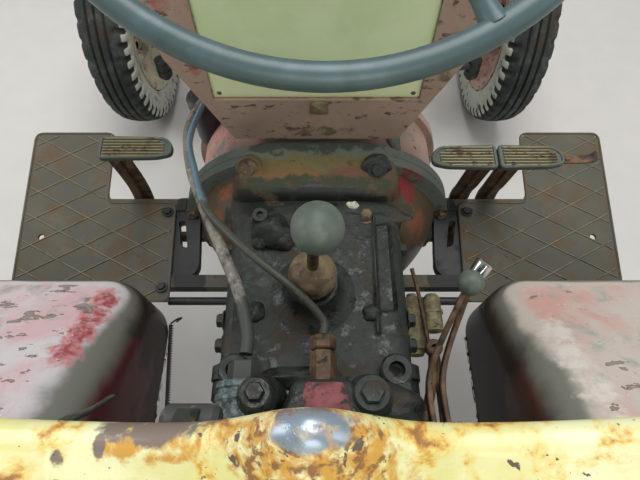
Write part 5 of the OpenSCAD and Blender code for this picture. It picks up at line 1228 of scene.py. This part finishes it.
def make_rear_tyre(side, name, body):
    """A smooth carcass and two staggered rows of slanting lugs. A lug is an outline carried out
    from the middle: its top falls with the shoulder and it turns back by 11 degrees."""
    half = flowing([(304, -95), (328, -106), (384, -122), (438, -121), (482, -113), (506, -100),
                    (517, -86), (524, -68), (528, -50), (528.5, -25), (528.5, 0)], 46)
    profile = np.vstack([half, (half * [1, -1])[::-1][1:]])
    sides = 96
    wear = np.repeat(0.5 * np.clip((np.abs(profile[:, 1]) - 96) / 20, 0, 1), sides)
    centre = (side * REAR_X, 0, 0)
    shells = [wheel_skin(profile, centre, sides, wear),
              wheel_skin([(304, 95), (304, -95)], centre, sides)]
    x = np.linspace(1, LUG_LONG, 12)
    turn = np.radians(11) * (x / LUG_LONG) ** 1.4
    top = REAR_R - 26 * (x / LUG_LONG) ** 2.4
    base = np.interp(x, -half[:, 1][::-1], half[:, 0][::-1]) - 8
    wide = np.array([(-24, 0), (-20, 0.25), (-17.5, 0.9), (-15.5, 1), (15.5, 1), (17.5, 0.9),
                     (20, 0.25), (24, 0)])
    high = base[:, None] + (top - base)[:, None] * wide[:, 1]
    lug_x = np.repeat(x[:, None], len(wide), 1)
    for lug in range(LUGS):
        for edge in BOTH:
            start = 180 + 360 // LUGS * lug + (180 // LUGS if edge > 0 else 0)
            a = np.radians(start) - turn[:, None] + wide[:, 0] / high
            grid = np.stack([side * (REAR_X + edge * lug_x), -high * np.sin(a), high * np.cos(a)],
                            -1)
            shells.append(shell(grid))
    piece(name + "_rubber", shells, TYRE_RUBBER, body, [name], angle=40)


def make_wheels():
    """Both tyre pairs, the wheel nuts, hub caps and valves."""
    for side, word in zip(BOTH, ("left", "right")):
        make_front_tyre(side, f"front_tyre_{word}", f"{word}_front_wheel")
        make_rear_tyre(side, f"rear_tyre_{word}", f"{word}_rear_wheel")
        out = side * RIGHT
        front = nut_ring((side * (FRONT_X + 12), FRONT_Y, FRONT_Z), 72, 6, 15, out, 17, 12)
        rear = nut_ring((side * 527.5, 0, 0), 124, 8, 10, out, 24, 16)
        cap = [lathe([(0, 14), (16, 13), (28, 9), (33, 2), (33, -6), (0, -6)][::-1],
                     (side * 720, FRONT_Y, FRONT_Z), out, 40)]
        hub = [lathe([(0, 12), (30, 11), (48, 6), (54, 0), (0, 0)][::-1], (side * 566, 0, 0), out,
                     40)]
        valve = sweep([(side * 676, FRONT_Y + 172, FRONT_Z), (side * 690, FRONT_Y + 168, FRONT_Z),
                       (side * 704, FRONT_Y + 160, FRONT_Z)], circle(4, 10))
        piece(f"front_wheel_nuts_{word}", front + cap + [valve],
              BLACK_ENAMEL if side > 0 else RIM_CREAM,
              f"{word}_front_wheel")
        piece(f"rear_wheel_nuts_{word}", rear + hub, BLACK_ENAMEL, f"{word}_rear_wheel")


# Engine and nose

def make_engine_details():
    """Head and sump bolts, the fan belt round its three pulleys, the radiator's top hose, the
    bonnet's catches and bands, and the lamps' lenses and rims."""
    heads = []
    for y in np.linspace(1236, 1710, 9):
        heads += on_both_sides(bolt((94, y, 342), UP, 17, 10))
    for y in (1290, 1460, 1640):
        heads += bolt((0, y, 400), UP, 19, 12)
    for y in np.linspace(1230, 1710, 8):
        heads += on_both_sides(bolt((126, y, -82), -UP, 13, 6))
    piece("head_and_sump_bolts", heads, ENGINE_ENAMEL)
    pulleys = [((0, 40), 66), ((200, 170), 34), ((0, 245), 42)]
    belt_y, line = 1784.0, []
    for k, ((x, z), r) in enumerate(pulleys):
        here, before, after = np.array((x, z)), pulleys[k - 1], pulleys[(k + 1) % 3]
        turns = []
        for gap, shrink in ((here - before[0], before[1] - r), (after[0] - here, r - after[1])):
            lean = math.asin(shrink / np.linalg.norm(gap))
            turns.append(math.atan2(gap[1], gap[0]) - math.pi / 2 + lean)
        first, last = turns
        last = last if last > first else last + 2 * math.pi
        t = np.linspace(first, last, 24)
        line.append(np.stack([x + r * np.cos(t), np.full(24, belt_y), z + r * np.sin(t)], -1))
    belt = sweep(even(np.vstack(line), 140, closed=True), bar_outline(13, 9, 2), up=AHEAD,
                 closed=True)
    top_hose = flowing([(0, 1760, 380), (0, 1800, 430), (0, 1850, 500), (0, 1900, 560),
                        (0, 1914, 590)], 40)
    ribs = 1 + 0.04 * np.cos(np.arange(40) * 1.6)
    hose = sweep(top_hose, circle(24, 20)[None] * ribs[:, None, None], up=RIGHT)
    piece("fan_belt", [belt], RUBBER_HOSE)
    piece("radiator_hose", [hose], RUBBER_HOSE)
    catches = []
    for y in (1300, 1560, 1820):
        catches += [sweep([(246, y, 440), (249, y, 456), (249, y, 474)], bar_outline(22, 5, 2),
                          up=AHEAD)]
        catches += bolt((245, y, 482), RIGHT, 13, 6)
    piece("bonnet_catches", on_both_sides(catches), BRIGHT_STEEL)
    corner_x, corner_z, corner_r, foot_z = 154, 550, 91.2, 426
    a = np.radians(np.linspace(0, 180, 25))
    bands = []
    for y in (1520, 1960):
        corners = [np.stack([x + corner_r * np.cos(t), np.full(13, y),
                             corner_z + corner_r * np.sin(t)], -1)
                   for x, t in ((corner_x, a[:13]), (-corner_x, a[12:]))]
        arc = np.vstack([[(245.2, y, foot_z)], *corners, [(-245.2, y, foot_z)]])
        bands.append(sweep(even(arc, 90), bar_outline(14, 2.4, 1), up=AHEAD))
    piece("bonnet_bands", bands, RED_ENAMEL)
    lenses, rings = [], []
    for side in BOTH:
        centre = (side * 344, 2030, 450)
        lenses.append(lathe([(0, 58), (30, 56), (54, 50), (68, 43), (70, 40), (0, 40)][::-1],
                            centre, AHEAD, 48))
        rings.append(lathe([(66, 38), (79, 30), (82, 34), (82, 42), (76, 48), (68, 49), (66, 46),
                            (66, 38)],
                           centre, AHEAD, 48, OPEN))
    piece("headlamp_lenses", lenses, LAMP_GLASS)
    piece("headlamp_rims", rings, CHROME)


# Floor, light and camera

def make_stage():
    """A plain pale floor, one large soft lamp over the tractor, three weaker ones round it, and the
    camera at the photograph's view."""
    half = 30.0
    floor_mesh = bpy.data.meshes.new("studio_floor")
    floor_mesh.from_pydata([(-half, -half, 0), (half, -half, 0), (half, half, 0), (-half, half, 0)],
                           [], [(0, 1, 2, 3)])
    paper = coating("matt_floor_paint", "#d9d7d2", 0.9, grain=(3.0, 0.02), mottle=0.02)
    floor_mesh.materials.append(paper)
    floor = bpy.data.objects.new("studio_floor", floor_mesh)
    bpy.context.collection.objects.link(floor)
    world = bpy.data.worlds.new("studio_air")
    bpy.context.scene.world = world
    world.use_nodes = True
    air = world.node_tree.nodes["Background"].inputs
    air["Color"].default_value, air["Strength"].default_value = linear("#e6e6e6"), 0.42
    for name, spot, aim, size, watts in (
            ("overhead_softbox", (0.3, 0.9, 4.2), (0, 0.2, 0.8), 2.4, 104),
            ("left_softbox", (-4.0, 0.6, 2.6), (0, 0, 0.7), 2.0, 50),
            ("right_softbox", (4.0, -1.0, 2.8), (0, 0, 0.7), 2.0, 28),
            ("rear_softbox", (0.2, -3.4, 3.0), (0, 0.5, 0.7), 2.2, 52)):
        lamp = bpy.data.lights.new(name, "AREA")
        lamp.energy, lamp.size = watts, size
        holder = bpy.data.objects.new(name, lamp)
        bpy.context.collection.objects.link(holder)
        way = np.array(aim) - np.array(spot)
        holder.location = spot
        tilt = math.atan2(math.hypot(way[0], way[1]), -way[2])
        holder.rotation_euler = (tilt, 0, math.atan2(-way[0], way[1]))
    # The photograph's focal length of 481 pixels on 640 is 27.06 mm on a 36 mm sensor.
    view = bpy.data.cameras.new("driver_view")
    view.lens, view.sensor_width, view.clip_start = 27.06, 36, 0.02
    camera = bpy.data.objects.new("driver_view", view)
    camera.location, camera.rotation_euler = (0.006, -0.2939, 1.467), (math.radians(29.2), 0, 0)
    bpy.context.collection.objects.link(camera)
    bpy.context.scene.camera = camera
    bpy.context.scene.view_settings.view_transform = "Standard"


make_seat()
make_fenders()
make_bell()
make_gearbox_top()
make_lift_front()
make_pipes()
make_gear_lever()
make_hand_levers()
make_pedals()
make_plate_ridges()
make_side_cans()
make_steering_wheel()
make_dash()
make_wheels()
make_engine_details()
make_stage()
